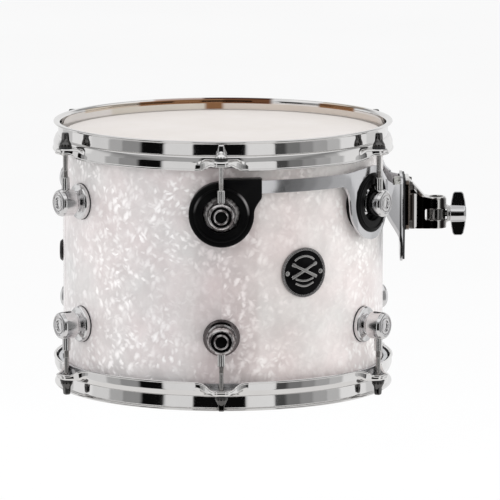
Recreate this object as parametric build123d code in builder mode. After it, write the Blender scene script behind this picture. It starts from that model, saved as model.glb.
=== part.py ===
"""Rack tom drum, nominal 12 x 9 inch, with a suspension mount on its right-hand side.

Frame: millimetres, +Z up along the drum's axis. The origin is the centre of the batter head's
playing surface, so the whole shell hangs below Z = 0. Angles round the drum are in degrees from
the front (-Y) towards the right (+X): a station at angle a lies at (R sin a, -R cos a).
Six tension lines stand at 0, 60, 120, 180, 240 and 300 degrees; the suspension plate runs from the
lug at 0 round the right-hand side to the lug at 180 and carries the rod clamp at 90.
"""

from build123d import *
import os
from math import cos, hypot, radians, sin, sqrt

# ---------------------------------------------------------------- driving dimensions
SHELL_DEPTH = 228.6          # nominal 9 in
PLY_R = 151.3                # outer radius of the wooden shell
PLY_T = 6.0
WRAP_T = 0.6                 # pearl covering
WRAP_R = PLY_R + WRAP_T
WRAP_MARGIN = 4.2            # bare shell beyond each edge of the covering
FILM_T = 0.3                 # head film
EDGE_TOP = -FILM_T - 0.01    # apex of the batter bearing edge
EDGE_BOTTOM = EDGE_TOP - SHELL_DEPTH
MID_Z = EDGE_TOP - SHELL_DEPTH / 2
EDGE_R = 148.9               # radius of the bearing edge's apex

LUG_COUNT = 6
LUG_ANGLES = [360 // LUG_COUNT * i for i in range(LUG_COUNT)]
LUG_OFFSET = 58.0            # lug centre above and below the shell's middle
Z_LUG_TOP = MID_Z + LUG_OFFSET
Z_LUG_BOTTOM = MID_Z - LUG_OFFSET
ROD_R = 168.5                # tension rod circle radius
GASKET_T = 1.0               # pad between lug and covering
LUG_SEAT_R = WRAP_R + GASKET_T
LUG_BASE_R = 16.8            # radius of the round lug foot
SCREW_PITCH = 7.5            # lug screws sit this far above and below the lug centre
SCREW_SPOTS = ((0, SCREW_PITCH), (0, -SCREW_PITCH))
SCREW_HOLE_R = 2.4

HOOP_TOP = 11.0              # rim above the playing surface
HOOP_T = 2.3
SEAT_TOP, SEAT_BOTTOM = -2.2, -4.5
SKIRT_BOTTOM = -16.2
SKIRT_LIP = 2.1              # height of the flange at the skirt's foot
EAR_TOP, EAR_BOTTOM = -5.2, -10.5    # the ears leave the skirt below the seat
EAR_TIP_R = 176.2
EAR_KNEE_Y = -163.5          # where an ear's sides change slope
NYLON_TOP, STEEL_TOP = -3.7, -2.7    # stack of washers on each ear

PLATE_T = 2.5                # suspension plate
PLATE_IN_R = 160.0
PLATE_OUT_R = PLATE_IN_R + PLATE_T
FLAT_X = 170.0               # outer face of the plate's flat centre
FLAT_HALF = 34.3             # half width of that flat, before its corners are rounded
BAND_LOW, BAND_HIGH = 77.5, 89.5     # edges of the plate's band above the shell's middle
BOSS_R = 34.5                # plate round each inner pad

BRACKET_GASKET_T = 2.0
BRACKET_X = FLAT_X + BRACKET_GASKET_T        # back of the clamp bracket
BRACKET_FOOT_T = 4.2
FOOT_FACE_X = BRACKET_X + BRACKET_FOOT_T
BRACKET_MID = 46.0           # centre of the bolt pattern above the shell's middle
BOLT_SPOTS = [(y, BRACKET_MID + rise) for y in (-17.0, 17.0) for rise in (-18.0, 18.0)]
BOLT_HOLE_R = 2.7

BADGE_ANGLE, VENT_ANGLE = 30.0, 270.0
BADGE_PIN_X = 17.6           # badge pins stand this far either side of its centre
VENT_R = 6.0
DRILL_R, DRILL_DEPTH = 130, 40       # radial drilling that passes right through the shell wall

# Plane midway between the two heads, for mirroring batter-side pieces to the resonant side.
MIDDLE = Plane(origin=(0, 0, MID_Z), x_dir=(1, 0, 0), z_dir=(0, 0, 1))
ROD_AXIS = Axis((0, -ROD_R, 0), (0, 0, 1))
SIDES = (("batter", False), ("resonant", True))

os.makedirs("parts", exist_ok=True)


# ---------------------------------------------------------------- helpers
def radial_plane(angle, z, distance):
    """Plane facing outwards at an angle round the drum: local x runs round it, local y is up."""
    turn = radians(angle)
    out = Vector(sin(turn), -cos(turn), 0)
    return Plane(
        origin=(distance * out.X, distance * out.Y, z),
        x_dir=(cos(turn), sin(turn), 0),
        z_dir=out,
    )


def front_plane(x, y, z):
    """Plane facing the front: local x is +X, local y is +Z."""
    return Plane(origin=(x, y, z), x_dir=(1, 0, 0), z_dir=(0, -1, 0))


def side_plane(x):
    """Plane facing +X: local x is +Y, local y is height above the shell's middle."""
    return Plane(origin=(x, 0, MID_Z), x_dir=(0, 1, 0), z_dir=(1, 0, 0))


def outward_section(z):
    """Upright plane at the front: local x is distance out along -Y, local y is down from z."""
    return Plane(origin=(0, 0, z), x_dir=(0, -1, 0), z_dir=(1, 0, 0))


def turned(*angles):
    """Locations that turn a piece made at the front to each angle round the drum."""
    return [Location((0, 0, 0), (0, 0, angle)) for angle in angles]


def ringed(piece):
    """Six copies of a front piece, one on each tension line."""
    with BuildPart() as ring:
        with PolarLocations(0, LUG_COUNT):
            add(piece.part)
    return ring


def mirrored(piece):
    """The resonant-side image of a batter-side piece."""
    with BuildPart() as image:
        add(piece.part)
        mirror(about=MIDDLE, mode=Mode.REPLACE)
    return image


def save(builder, label):
    builder.part.label = label
    export_step(builder.part, f"parts/{label}.step")


# ---------------------------------------------------------------- shell
# (radius, z) round the wall, with a bearing edge at each end
SHELL_PROFILE = (
    (PLY_R - PLY_T, EDGE_BOTTOM + 3.6), (PLY_R - PLY_T, EDGE_TOP - 3.6),
    (EDGE_R - 0.25, EDGE_TOP - 0.1), (EDGE_R, EDGE_TOP), (EDGE_R + 0.5, EDGE_TOP - 0.12),
    (EDGE_R + 1.7, EDGE_TOP - 1.2), (PLY_R, EDGE_TOP - 3.2),
    (PLY_R, EDGE_BOTTOM + 3.2), (EDGE_R + 1.7, EDGE_BOTTOM + 1.2),
    (EDGE_R + 0.5, EDGE_BOTTOM + 0.12), (EDGE_R, EDGE_BOTTOM), (EDGE_R - 0.25, EDGE_BOTTOM + 0.1),
)


def shell_holes(pin_start, pin_depth):
    """Radial holes as (plane, spots, radius, depth): lug screws, air vent and badge pins."""
    holes = [
        (radial_plane(angle, z, DRILL_R), SCREW_SPOTS, SCREW_HOLE_R, DRILL_DEPTH)
        for z in (Z_LUG_TOP, Z_LUG_BOTTOM) for angle in LUG_ANGLES
    ]
    holes.append((radial_plane(VENT_ANGLE, MID_Z, DRILL_R), ((0, 0),), VENT_R, DRILL_DEPTH))
    pin_spots = ((-BADGE_PIN_X, 0), (BADGE_PIN_X, 0))
    holes.append((radial_plane(BADGE_ANGLE, MID_Z, pin_start), pin_spots, 0.8, pin_depth))
    return holes


with BuildPart() as shell_ply:
    with BuildSketch(Plane.XZ):
        with BuildLine():
            Polyline(*SHELL_PROFILE, close=True)
        make_face()
    revolve(axis=Axis.Z)
    # the pin holes are blind here: they stop short of the inner face
    for plane, spots, radius, depth in shell_holes(147.0, 12):
        with BuildSketch(plane):
            with Locations(*spots):
                Circle(radius)
        extrude(amount=depth, mode=Mode.SUBTRACT)
save(shell_ply, "shell_ply")

with BuildPart() as shell_wrap:
    with BuildSketch(Plane.XY.offset(MID_Z - SHELL_DEPTH / 2 + WRAP_MARGIN)):
        Circle(WRAP_R)
        Circle(PLY_R, mode=Mode.SUBTRACT)
    extrude(amount=SHELL_DEPTH - 2 * WRAP_MARGIN)
    for plane, spots, radius, depth in shell_holes(DRILL_R, DRILL_DEPTH):
        with BuildSketch(plane):
            with Locations(*spots):
                Circle(radius)
        extrude(amount=depth, mode=Mode.SUBTRACT)
save(shell_wrap, "shell_wrap")

# Air vent: an eyelet with a domed outer flange, opposite the clamp.
# (distance out along -X, radius about the vent's axis)
VENT_PROFILE = (
    (144.0, 4.2), (144.0, 7.2), (145.0, 7.4), (145.05, 5.9), (152.0, 5.9),
    (152.25, 10.4), (153.5, 10.1), (154.8, 8.2), (155.2, 5.6), (154.7, 4.2),
)
with BuildPart() as vent_grommet:
    with BuildSketch(Plane(origin=(0, 0, MID_Z), x_dir=(-1, 0, 0), z_dir=(0, 1, 0))):
        with BuildLine():
            Polyline(*VENT_PROFILE, close=True)
        make_face()
    revolve(axis=Axis((0, 0, MID_Z), (-1, 0, 0)))
save(vent_grommet, "vent_grommet")

# ---------------------------------------------------------------- badge
# A plate curved to the shell, with a raised rim and a plain ring device, pinned at both sides.
BADGE_R = 23.2
BADGE_RIM_IN_R = 21.4
DEVICE_OUT_R, DEVICE_IN_R = 13.4, 12.2
BADGE_BLANK_H = 60           # height of the curved sheets the badge is cut from
BADGE_CUT_R, BADGE_CUT_DEPTH = 140, 20

with BuildPart() as badge_cut:
    with BuildSketch(radial_plane(BADGE_ANGLE, MID_Z, BADGE_CUT_R)):
        Circle(BADGE_R)
    extrude(amount=BADGE_CUT_DEPTH)
with BuildPart() as badge_rim_cut:
    with BuildSketch(radial_plane(BADGE_ANGLE, MID_Z, BADGE_CUT_R)):
        Circle(BADGE_R)
        Circle(BADGE_RIM_IN_R, mode=Mode.SUBTRACT)
        Circle(DEVICE_OUT_R)
        Circle(DEVICE_IN_R, mode=Mode.SUBTRACT)
    extrude(amount=BADGE_CUT_DEPTH)
with BuildPart() as badge_rim:
    with BuildSketch(Plane.XY.offset(MID_Z - BADGE_BLANK_H / 2)):
        Circle(WRAP_R + 2.2)
        Circle(WRAP_R + 1.0, mode=Mode.SUBTRACT)
    extrude(amount=BADGE_BLANK_H)
    add(badge_rim_cut.part, mode=Mode.INTERSECT)
with BuildPart() as badge_plate:
    with BuildSketch(Plane.XY.offset(MID_Z - BADGE_BLANK_H / 2)):
        Circle(WRAP_R + 1.5)
        Circle(WRAP_R + 0.05, mode=Mode.SUBTRACT)
    extrude(amount=BADGE_BLANK_H)
    add(badge_cut.part, mode=Mode.INTERSECT)
    add(badge_rim.part)
    with BuildSketch(radial_plane(BADGE_ANGLE, MID_Z, DRILL_R)):
        with Locations((-BADGE_PIN_X, 0), (BADGE_PIN_X, 0)):
            Circle(0.85)
    extrude(amount=DRILL_DEPTH, mode=Mode.SUBTRACT)
save(badge_plate, "badge_plate")

# (start distance out, radius, length, taper in degrees): shank, then head
PIN_STEPS = ((148.0, 0.7, 5.0, 0), (152.68, 2.1, 0.9, 25))
with BuildPart() as badge_pins:
    badge_base = radial_plane(BADGE_ANGLE, MID_Z, 0)
    for pin_x in (-BADGE_PIN_X, BADGE_PIN_X):
        for start, radius, length, taper in PIN_STEPS:
            foot = badge_base.from_local_coords((pin_x, 0, start))
            with BuildSketch(Plane(origin=foot, x_dir=badge_base.x_dir, z_dir=badge_base.z_dir)):
                Circle(radius)
            extrude(amount=length, taper=taper)
save(badge_pins, "badge_pins")

# ---------------------------------------------------------------- heads
# (radius, z) of the film: flat, collar and outer edge, then back along the underside
FILM_PROFILE = (
    (0, 0), (149.6, 0), (150.6, -0.35), (153.0, -3.3), (154.1, -5.6), (154.1, -10.4),
    (153.8, -10.4), (153.8, -5.7), (152.7, -3.5), (150.4, -0.62), (149.5, -FILM_T), (0, -FILM_T),
)
# (radius, z) of the channel that grips the film's collar; the drum hoop bears on its upper edge
CHANNEL_PROFILE = (
    (152.7, -14.0), (156.3, -14.0), (156.3, SEAT_BOTTOM), (155.3, SEAT_BOTTOM),
    (155.3, -12.4), (153.45, -12.4), (153.45, -7.4), (152.7, -7.4),
)


def head_ring(profile, label, flip):
    """Part of a head, turned from a profile about the drum's axis."""
    with BuildPart() as ring:
        with BuildSketch(Plane.XZ):
            with BuildLine():
                Polyline(*profile, close=True)
            make_face()
        revolve(axis=Axis.Z)
        if flip:
            mirror(about=MIDDLE, mode=Mode.REPLACE)
    save(ring, label)


for side, flip in SIDES:
    head_ring(FILM_PROFILE, f"{side}_film", flip)
    head_ring(CHANNEL_PROFILE, f"{side}_flesh_hoop", flip)

# ---------------------------------------------------------------- triple-flanged hoops
EAR_HOLLOW_TIP_Y = -EAR_TIP_R + 2.1
# (x, y) of the front ear and of the hollow under it
EAR_OUTLINE = (
    (-24.5, -157.6), (-16.5, EAR_KNEE_Y), (-8.4, -EAR_TIP_R),
    (8.4, -EAR_TIP_R), (16.5, EAR_KNEE_Y), (24.5, -157.6),
)
EAR_HOLLOW = (
    (-20.0, -157.0), (-13.2, EAR_KNEE_Y), (-6.8, EAR_HOLLOW_TIP_Y),
    (6.8, EAR_HOLLOW_TIP_Y), (13.2, EAR_KNEE_Y), (20.0, -157.0),
)
# (radius, z) of the hoop's bent section
HOOP_PROFILE = (
    (159.6, HOOP_TOP), (153.7, HOOP_TOP), (153.7, SEAT_BOTTOM), (157.0, SEAT_BOTTOM),
    (157.0, SKIRT_BOTTOM), (161.4, SKIRT_BOTTOM), (161.4, SKIRT_BOTTOM + SKIRT_LIP),
    (159.3, SKIRT_BOTTOM + SKIRT_LIP), (159.3, SEAT_TOP), (156.0, SEAT_TOP),
    (156.0, HOOP_TOP - HOOP_T), (159.6, HOOP_TOP - HOOP_T),
)
# Corner selectors: (x, range along Axis.Z or None for any, fillet radius)
HOOP_CORNERS = (
    (153.7, (HOOP_TOP - 0.5, HOOP_TOP + 0.5), 2.2),
    (159.3, (-3, -2), 2.0),
    (157.0, (SKIRT_BOTTOM - 0.5, SKIRT_BOTTOM + 0.5), 1.8),
    (156.0, None, 1.0),
    (159.6, None, 1.0),
    (161.4, None, 0.9),
)

with BuildPart() as ear:
    # one tension ear: a flat top with a rim turned down round its edge
    with BuildSketch(Plane.XY.offset(EAR_BOTTOM)) as outline:
        with BuildLine():
            Polyline(*EAR_OUTLINE, close=True)
        make_face()
        tip = outline.vertices().filter_by_position(Axis.Y, -EAR_TIP_R - 1, -EAR_TIP_R + 1)
        fillet(tip, radius=5.0)
        knees = outline.vertices().filter_by_position(Axis.Y, EAR_KNEE_Y - 0.1, EAR_KNEE_Y + 0.1)
        fillet(knees, radius=9.0)
    extrude(amount=EAR_TOP - EAR_BOTTOM)
    top_edges = ear.faces().sort_by(Axis.Z)[-1].edges()
    fillet(top_edges.filter_by_position(Axis.Y, -177, -158), radius=0.9)
    with BuildSketch(Plane.XY.offset(EAR_BOTTOM - 1)) as hollow:
        with BuildLine():
            Polyline(*EAR_HOLLOW, close=True)
        make_face()
        tip = hollow.vertices().filter_by_position(Axis.Y, -EAR_TIP_R + 1, -EAR_TIP_R + 3)
        fillet(tip, radius=3.2)
    extrude(amount=EAR_TOP - HOOP_T - EAR_BOTTOM + 1, mode=Mode.SUBTRACT)


def drum_hoop(label, flip):
    with BuildPart() as hoop:
        with BuildSketch(Plane.XZ) as section:
            with BuildLine():
                Polyline(*HOOP_PROFILE, close=True)
            make_face()
            for x, z_range, radius in HOOP_CORNERS:
                corners = section.vertices().filter_by_position(Axis.X, x - 0.1, x + 0.1)
                if z_range:
                    corners = corners.filter_by_position(Axis.Z, *z_range)
                fillet(corners, radius=radius)
        revolve(axis=Axis.Z)
        with PolarLocations(0, LUG_COUNT):
            add(ear.part)
        # clearance holes for the tension rods
        with BuildSketch(Plane.XY.offset(-20)):
            with PolarLocations(ROD_R, LUG_COUNT, start_angle=-90):
                Circle(3.3)
        extrude(amount=22, mode=Mode.SUBTRACT)
        if flip:
            mirror(about=MIDDLE, mode=Mode.REPLACE)
    save(hoop, label)


for side, flip in SIDES:
    drum_hoop(f"{side}_hoop", flip)

# ---------------------------------------------------------------- turret lugs
KNOB_R = 12.8                # radius of the turret
KNOB_BACK, KNOB_FRONT = 161.2, 177.0
NECK_R = 8.6
# (distance out from the drum's axis, radius about the lug's own axis)
LUG_PROFILE = (
    (149.0, 0), (149.0, LUG_BASE_R), (155.4, LUG_BASE_R), (156.9, LUG_BASE_R - 1.6),
    (158.0, 12.0), (159.2, 9.4), (160.4, NECK_R), (KNOB_BACK, NECK_R), (KNOB_BACK, KNOB_R),
    (KNOB_FRONT - 0.6, KNOB_R), (KNOB_FRONT, 9.8), (KNOB_FRONT - 1.1, 9.4),
    (KNOB_FRONT - 1.1, 7.5), (KNOB_FRONT - 0.2, 7.2), (KNOB_FRONT + 0.3, 5.0),
    (KNOB_FRONT + 0.3, 0),
)
# Corner selectors: (distance from Z_LUG_TOP, lower and upper limit of -Y, fillet radius)
LUG_CORNERS = (
    (KNOB_R, 170, 180, 2.9),
    (KNOB_R, KNOB_BACK - 0.01, KNOB_BACK + 0.01, 2.6),
    (LUG_BASE_R, 155, 180, 0.8),
)

with BuildPart() as lug:
    with BuildSketch(outward_section(Z_LUG_TOP)) as turret:
        with BuildLine():
            Polyline(*LUG_PROFILE, close=True)
        make_face()
        for reach, low, high, radius in LUG_CORNERS:
            corners = turret.vertices().filter_by(
                lambda v: abs(abs(v.Z - Z_LUG_TOP) - reach) < 0.01 and low < -v.Y < high)
            fillet(corners, radius=radius)
    revolve(axis=Axis((0, 0, Z_LUG_TOP), (0, -1, 0)))
    # saddle that sits on the gasket
    with BuildSketch(Plane.XY.offset(Z_LUG_TOP - 30)):
        Circle(LUG_SEAT_R)
    extrude(amount=60, mode=Mode.SUBTRACT)
    # stepped hole for the receiver nut, wider on the side away from the hoop
    with BuildSketch(Plane.XY.offset(Z_LUG_TOP - 20)):
        with Locations((0, -ROD_R)):
            Circle(4.7)
    extrude(amount=29.0, mode=Mode.SUBTRACT)
    with BuildSketch(Plane.XY.offset(Z_LUG_TOP)):
        with Locations((0, -ROD_R)):
            Circle(3.95)
    extrude(amount=20, mode=Mode.SUBTRACT)
    # blind holes for the two lug screws
    with BuildSketch(front_plane(0, -150, Z_LUG_TOP)):
        with Locations(*SCREW_SPOTS):
            Circle(2.05)
    extrude(amount=7.3, mode=Mode.SUBTRACT)

lug_housings = ringed(lug)
save(lug_housings, "lug_housings_batter")
save(mirrored(lug_housings), "lug_housings_resonant")

# Long-necked nut: its shoulder bears inside the turret, its neck points at the hoop.
NUT_BORE_R = 2.55
NUT_BODY_R, NUT_NECK_R = 4.6, 3.8
NUT_FOOT, NUT_SHOULDER, NUT_TOP = -10.6, 8.8, 24.0
# (radius about the rod's axis, height above the lug centre)
NUT_PROFILE = (
    (NUT_BORE_R, NUT_FOOT), (4.2, NUT_FOOT), (NUT_BODY_R, -10.2), (NUT_BODY_R, NUT_SHOULDER),
    (NUT_NECK_R, NUT_SHOULDER), (NUT_NECK_R, 23.4), (3.3, NUT_TOP), (NUT_BORE_R, NUT_TOP),
)
with BuildPart() as receiver_nut:
    with BuildSketch(front_plane(0, -ROD_R, Z_LUG_TOP)):
        with BuildLine():
            Polyline(*NUT_PROFILE, close=True)
        make_face()
    revolve(axis=ROD_AXIS)

receiver_nuts = ringed(receiver_nut)
save(receiver_nuts, "receiver_nuts_batter")
save(mirrored(receiver_nuts), "receiver_nuts_resonant")

# Gaskets lie under the lugs that have no isolation pad: two batter lugs and all resonant ones.
PLAIN_TOP_LUGS = [240, 300]
with BuildPart() as gasket:
    with BuildSketch(Plane.XY.offset(Z_LUG_TOP - 25)):
        Circle(LUG_SEAT_R)
        Circle(WRAP_R, mode=Mode.SUBTRACT)
    extrude(amount=50)
    with BuildSketch(radial_plane(0, Z_LUG_TOP, 140)):
        Circle(LUG_BASE_R + 0.3)
        with Locations(*SCREW_SPOTS):
            Circle(SCREW_HOLE_R, mode=Mode.SUBTRACT)
    extrude(amount=30, mode=Mode.INTERSECT)

gaskets_bottom = mirrored(ringed(gasket))
with BuildPart() as lug_gaskets:
    with Locations(*turned(*PLAIN_TOP_LUGS)):
        add(gasket.part)
    add(gaskets_bottom.part)
save(lug_gaskets, "lug_gaskets")

# ---------------------------------------------------------------- lug screws and washers
SCREW_Z = Z_LUG_TOP + SCREW_PITCH
SCREW_HEAD_SEAT = 144.2      # distance out to the seat of the head, inside the shell
# (distance out from the drum's axis, radius about the screw's axis)
SCREW_PROFILE = (
    (141.4, 0), (141.4, 2.6), (142.2, 3.8), (SCREW_HEAD_SEAT, 3.8),
    (SCREW_HEAD_SEAT, 2.0), (156.6, 2.0), (157.0, 1.6), (157.0, 0),
)
with BuildPart() as lug_screw:
    with BuildSketch(outward_section(SCREW_Z)):
        with BuildLine():
            Polyline(*SCREW_PROFILE, close=True)
        make_face()
    revolve(axis=Axis((0, 0, SCREW_Z), (0, -1, 0)))
    # cross slot in the head
    with BuildSketch(front_plane(0, -141.3, SCREW_Z)):
        Rectangle(4.4, 0.9)
        Rectangle(0.9, 4.4)
    extrude(amount=1.5, mode=Mode.SUBTRACT)

with BuildPart() as lug_screw_washer:
    with BuildSketch(front_plane(0, -SCREW_HEAD_SEAT, SCREW_Z)):
        Circle(4.5)
        Circle(2.2, mode=Mode.SUBTRACT)
    extrude(amount=1.0)


def four_rows(piece, label):
    """Copies a piece from the upper screw of the front batter lug to all 24 screw positions."""
    with BuildPart() as pair:
        add(piece.part)
        add(piece.part.moved(Location((0, 0, -2 * SCREW_PITCH))))
    upper = ringed(pair)
    lower = mirrored(upper)
    with BuildPart() as rows:
        add(upper.part)
        add(lower.part)
    save(rows, label)


four_rows(lug_screw, "lug_screws")
four_rows(lug_screw_washer, "lug_screw_washers")

# ---------------------------------------------------------------- tension rods and their washers
ROD_THREAD_R = 2.5           # M5 x 0.8
ROD_SHANK_R = 2.2
ROD_LENGTH = 49.5            # under the head
ROD_END = STEEL_TOP - ROD_LENGTH
ROD_HEAD_TOP = STEEL_TOP + 6.4
# (radius about the rod's axis, z)
ROD_PROFILE = (
    (0, ROD_END), (1.9, ROD_END), (ROD_THREAD_R, ROD_END + 0.7), (ROD_THREAD_R, -26.0),
    (ROD_SHANK_R, -26.4), (ROD_SHANK_R, STEEL_TOP), (5.0, STEEL_TOP), (5.3, STEEL_TOP + 0.4),
    (5.3, STEEL_TOP + 1.3), (4.9, STEEL_TOP + 1.8), (4.2, STEEL_TOP + 3.0),
    (3.6, STEEL_TOP + 4.8), (3.1, ROD_HEAD_TOP), (0, ROD_HEAD_TOP),
)
with BuildPart() as rod:
    with BuildSketch(front_plane(0, -ROD_R, 0)):
        with BuildLine():
            Polyline(*ROD_PROFILE, close=True)
        make_face()
    revolve(axis=ROD_AXIS)
    # square for the drum key
    with BuildSketch(Plane.XY.offset(STEEL_TOP + 2.0)):
        with Locations((0, -ROD_R)):
            RectangleRounded(6.0, 6.0, 0.7)
    extrude(amount=10.0)
    chamfer(rod.faces().sort_by(Axis.Z)[-1].edges(), length=0.5)


def tension_rods(side, flip):
    """Six separate rods, numbered round the drum from the front."""
    for number, angle in enumerate(LUG_ANGLES, start=1):
        with BuildPart() as one:
            with Locations(*turned(angle)):
                add(rod.part)
            if flip:
                mirror(about=MIDDLE, mode=Mode.REPLACE)
        save(one, f"tension_rod_{side}_{number}")


def ear_washers(label, outer_r, low, high, flip):
    with BuildPart() as washers:
        with BuildSketch(Plane.XY.offset(low)):
            with PolarLocations(ROD_R, LUG_COUNT, start_angle=-90):
                Circle(outer_r)
                Circle(2.7, mode=Mode.SUBTRACT)
        extrude(amount=high - low)
        if flip:
            mirror(about=MIDDLE, mode=Mode.REPLACE)
    save(washers, label)


for side, flip in SIDES:
    tension_rods(side, flip)
    ear_washers(f"nylon_washers_{side}", 6.2, EAR_TOP, NYLON_TOP, flip)
    ear_washers(f"steel_washers_{side}", 5.9, NYLON_TOP, STEEL_TOP, flip)


# ---------------------------------------------------------------- suspension plate: plan view
def on_ring(radius, angle):
    return (radius * sin(radians(angle)), -radius * cos(radians(angle)))


def flip_y(point):
    return (point[0], -point[1])


ARM_END = -9.0               # the arm's eye runs a little past the lug it hangs on
BEND_ANGLE = 72.5            # where a round arm turns off towards the flat centre
ARM_MID = (BEND_ANGLE + ARM_END) / 2

# Front half: the arm bends at BEND, runs straight, and meets the flat centre at CORNER.
BEND_OUT = on_ring(PLATE_OUT_R, BEND_ANGLE)
CORNER_OUT = (FLAT_X, -FLAT_HALF)
run_length = hypot(CORNER_OUT[0] - BEND_OUT[0], CORNER_OUT[1] - BEND_OUT[1])
run_x = (CORNER_OUT[0] - BEND_OUT[0]) / run_length
run_y = (CORNER_OUT[1] - BEND_OUT[1]) / run_length
# the straight's inner face is offset by the plate's thickness
inner_x = BEND_OUT[0] - run_y * PLATE_T
inner_y = BEND_OUT[1] + run_x * PLATE_T
CORNER_IN = (FLAT_X - PLATE_T, inner_y + (FLAT_X - PLATE_T - inner_x) / run_x * run_y)
# distance along the inner face to where it crosses the inner ring
along = inner_x * run_x + inner_y * run_y
to_ring = -along + sqrt(along * along - (inner_x**2 + inner_y**2 - PLATE_IN_R**2))
BEND_IN = (inner_x + to_ring * run_x, inner_y + to_ring * run_y)

END_OUT, END_IN = on_ring(PLATE_OUT_R, ARM_END), on_ring(PLATE_IN_R, ARM_END)
MID_OUT, MID_IN = on_ring(PLATE_OUT_R, ARM_MID), on_ring(PLATE_IN_R, ARM_MID)


def corner_pair(sketch, point):
    """The sketch's vertices at a point and at its mirror image across the X axis."""
    return sketch.vertices().filter_by(
        lambda v: abs(v.X - point[0]) < 0.02 and abs(abs(v.Y) - abs(point[1])) < 0.02)


with BuildPart() as plate_wall:
    # round arms either side of a flat, raised centre
    with BuildSketch(Plane.XY.offset(MID_Z - 20)) as plan:
        with BuildLine():
            ThreePointArc(END_OUT, MID_OUT, BEND_OUT)
            Polyline(BEND_OUT, CORNER_OUT, flip_y(CORNER_OUT), flip_y(BEND_OUT))
            ThreePointArc(flip_y(BEND_OUT), flip_y(MID_OUT), flip_y(END_OUT))
            Line(flip_y(END_OUT), flip_y(END_IN))
            ThreePointArc(flip_y(END_IN), flip_y(MID_IN), flip_y(BEND_IN))
            Polyline(flip_y(BEND_IN), flip_y(CORNER_IN), CORNER_IN, BEND_IN)
            ThreePointArc(BEND_IN, MID_IN, END_IN)
            Line(END_IN, END_OUT)
        make_face()
        fillet(corner_pair(plan, CORNER_OUT), radius=7.5)
        fillet(corner_pair(plan, CORNER_IN), radius=5.0)
        fillet(corner_pair(plan, BEND_IN), radius=7.0)
        fillet(corner_pair(plan, BEND_OUT), radius=4.5)
    extrude(amount=125)

# ---------------------------------------------------------------- suspension plate: outline
# Tables are (distance round, height above the shell's middle) on the plane each region faces.
# Positive distances run towards the clamp from the eye, and from the boss.
BOSS_TOP = (0, LUG_OFFSET + BOSS_R)
EYE_LINK = (
    (0, LUG_OFFSET), (24.4, LUG_OFFSET + 2), (29, BAND_LOW), (33, BAND_LOW),
    (33, BAND_HIGH), (30, BAND_HIGH), (2, 82.4),
)
# Webs that blend each boss into the band and the centre: (free-edge spline, closing polyline)
BOSS_WEBS = (
    (((-48.0, BAND_LOW), (-41.5, 75.7), (-37.4, 70.0), (-BOSS_R, 58.0)),
     ((-BOSS_R, 58.0), (-20.0, 60.0), (-20.0, BAND_HIGH), (-48.0, BAND_HIGH), (-48.0, BAND_LOW))),
    (((-50.0, BAND_HIGH), (-36.0, 89.7), (-20.0, 91.2), BOSS_TOP),
     (BOSS_TOP, (0, 60.0), (-50.0, 80.0), (-50.0, BAND_HIGH))),
    ((BOSS_TOP, (16, 88.6), (30, 78.4), (42.0, 70.4)),
     ((42.0, 70.4), (42.0, 42.0), (0, 50.0), BOSS_TOP)),
)
# Shield-shaped centre: (y, height above the middle)
SHIELD_TOP = (
    (-50, 70.6), (-42, 68.6), (-34, 68.4), (-27, 72.6), (27, 72.6), (34, 68.4), (42, 68.6),
    (50, 70.6), (50, 48.0),
)
SHIELD_SIDE = ((50, 48.0), (44.0, 34.5), (36.0, 20.0), (27.0, 0.5), (16.0, -7.6))
SHIELD_FAR_SIDE = [(-y, height) for y, height in reversed(SHIELD_SIDE)]


def sided(direction, points):
    """Points as given for direction 1, with their distances reversed for -1."""
    return [(direction * x, y) for x, y in points]


with BuildPart() as plate_outline:
    # each region is drawn on the plane it is seen square-on from, then run through the wall
    # the long band just under the hoop
    for angle, direction in ((30, 1), (150, -1)):
        with BuildSketch(radial_plane(angle, MID_Z, 120)):
            with Locations((direction * 5.0, (BAND_LOW + BAND_HIGH) / 2)):
                Rectangle(114, BAND_HIGH - BAND_LOW)
        extrude(amount=45)
    # eyes on the two outer lugs, inside the end pads
    for angle, direction in ((0, 1), (180, -1)):
        with BuildSketch(radial_plane(angle, MID_Z, 150)):
            with Locations((0, LUG_OFFSET)):
                Circle(24.5)
            with BuildLine():
                Polyline(*sided(direction, EYE_LINK), close=True)
            make_face()
        extrude(amount=15)
    # round bosses over the two inner lugs, with their webs
    for angle, direction in ((60, 1), (120, -1)):
        with BuildSketch(radial_plane(angle, MID_Z, 130)):
            with Locations((0, LUG_OFFSET)):
                Circle(BOSS_R)
            for free_edge, closing in BOSS_WEBS:
                with BuildLine():
                    Spline(*sided(direction, free_edge))
                    Polyline(*sided(direction, closing))
                make_face()
        extrude(amount=45)
    # shield-shaped flat centre
    with BuildSketch(side_plane(140)):
        with BuildLine():
            Polyline(*SHIELD_TOP)
            Spline(*SHIELD_SIDE)
            Line(SHIELD_SIDE[-1], SHIELD_FAR_SIDE[0])
            Spline(*SHIELD_FAR_SIDE)
            Line(SHIELD_FAR_SIDE[-1], SHIELD_TOP[0])
        make_face()
    extrude(amount=40)

with BuildPart() as suspension_plate:
    add(plate_wall.part)
    add(plate_outline.part, mode=Mode.INTERSECT)
    # holes the isolation pads sit in
    for angle, radius in ((0, 19.4), (180, 19.4), (60, 24.5), (120, 24.5)):
        with BuildSketch(radial_plane(angle, Z_LUG_TOP, 150)):
            Circle(radius)
        extrude(amount=15, mode=Mode.SUBTRACT)
    with BuildSketch(side_plane(160)):
        with Locations(*BOLT_SPOTS):
            Circle(BOLT_HOLE_R)
    extrude(amount=15, mode=Mode.SUBTRACT)
save(suspension_plate, "suspension_plate")

# ---------------------------------------------------------------- rubber isolation pads
PAD_R = 28.0
PAD_FACE_R = 163.9           # outer face of the pads
RECESS_R = 17.2              # seat for the lug foot in a pad
PAD_BORE_R = WRAP_R + 0.02   # inner face, just clear of the covering
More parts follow.
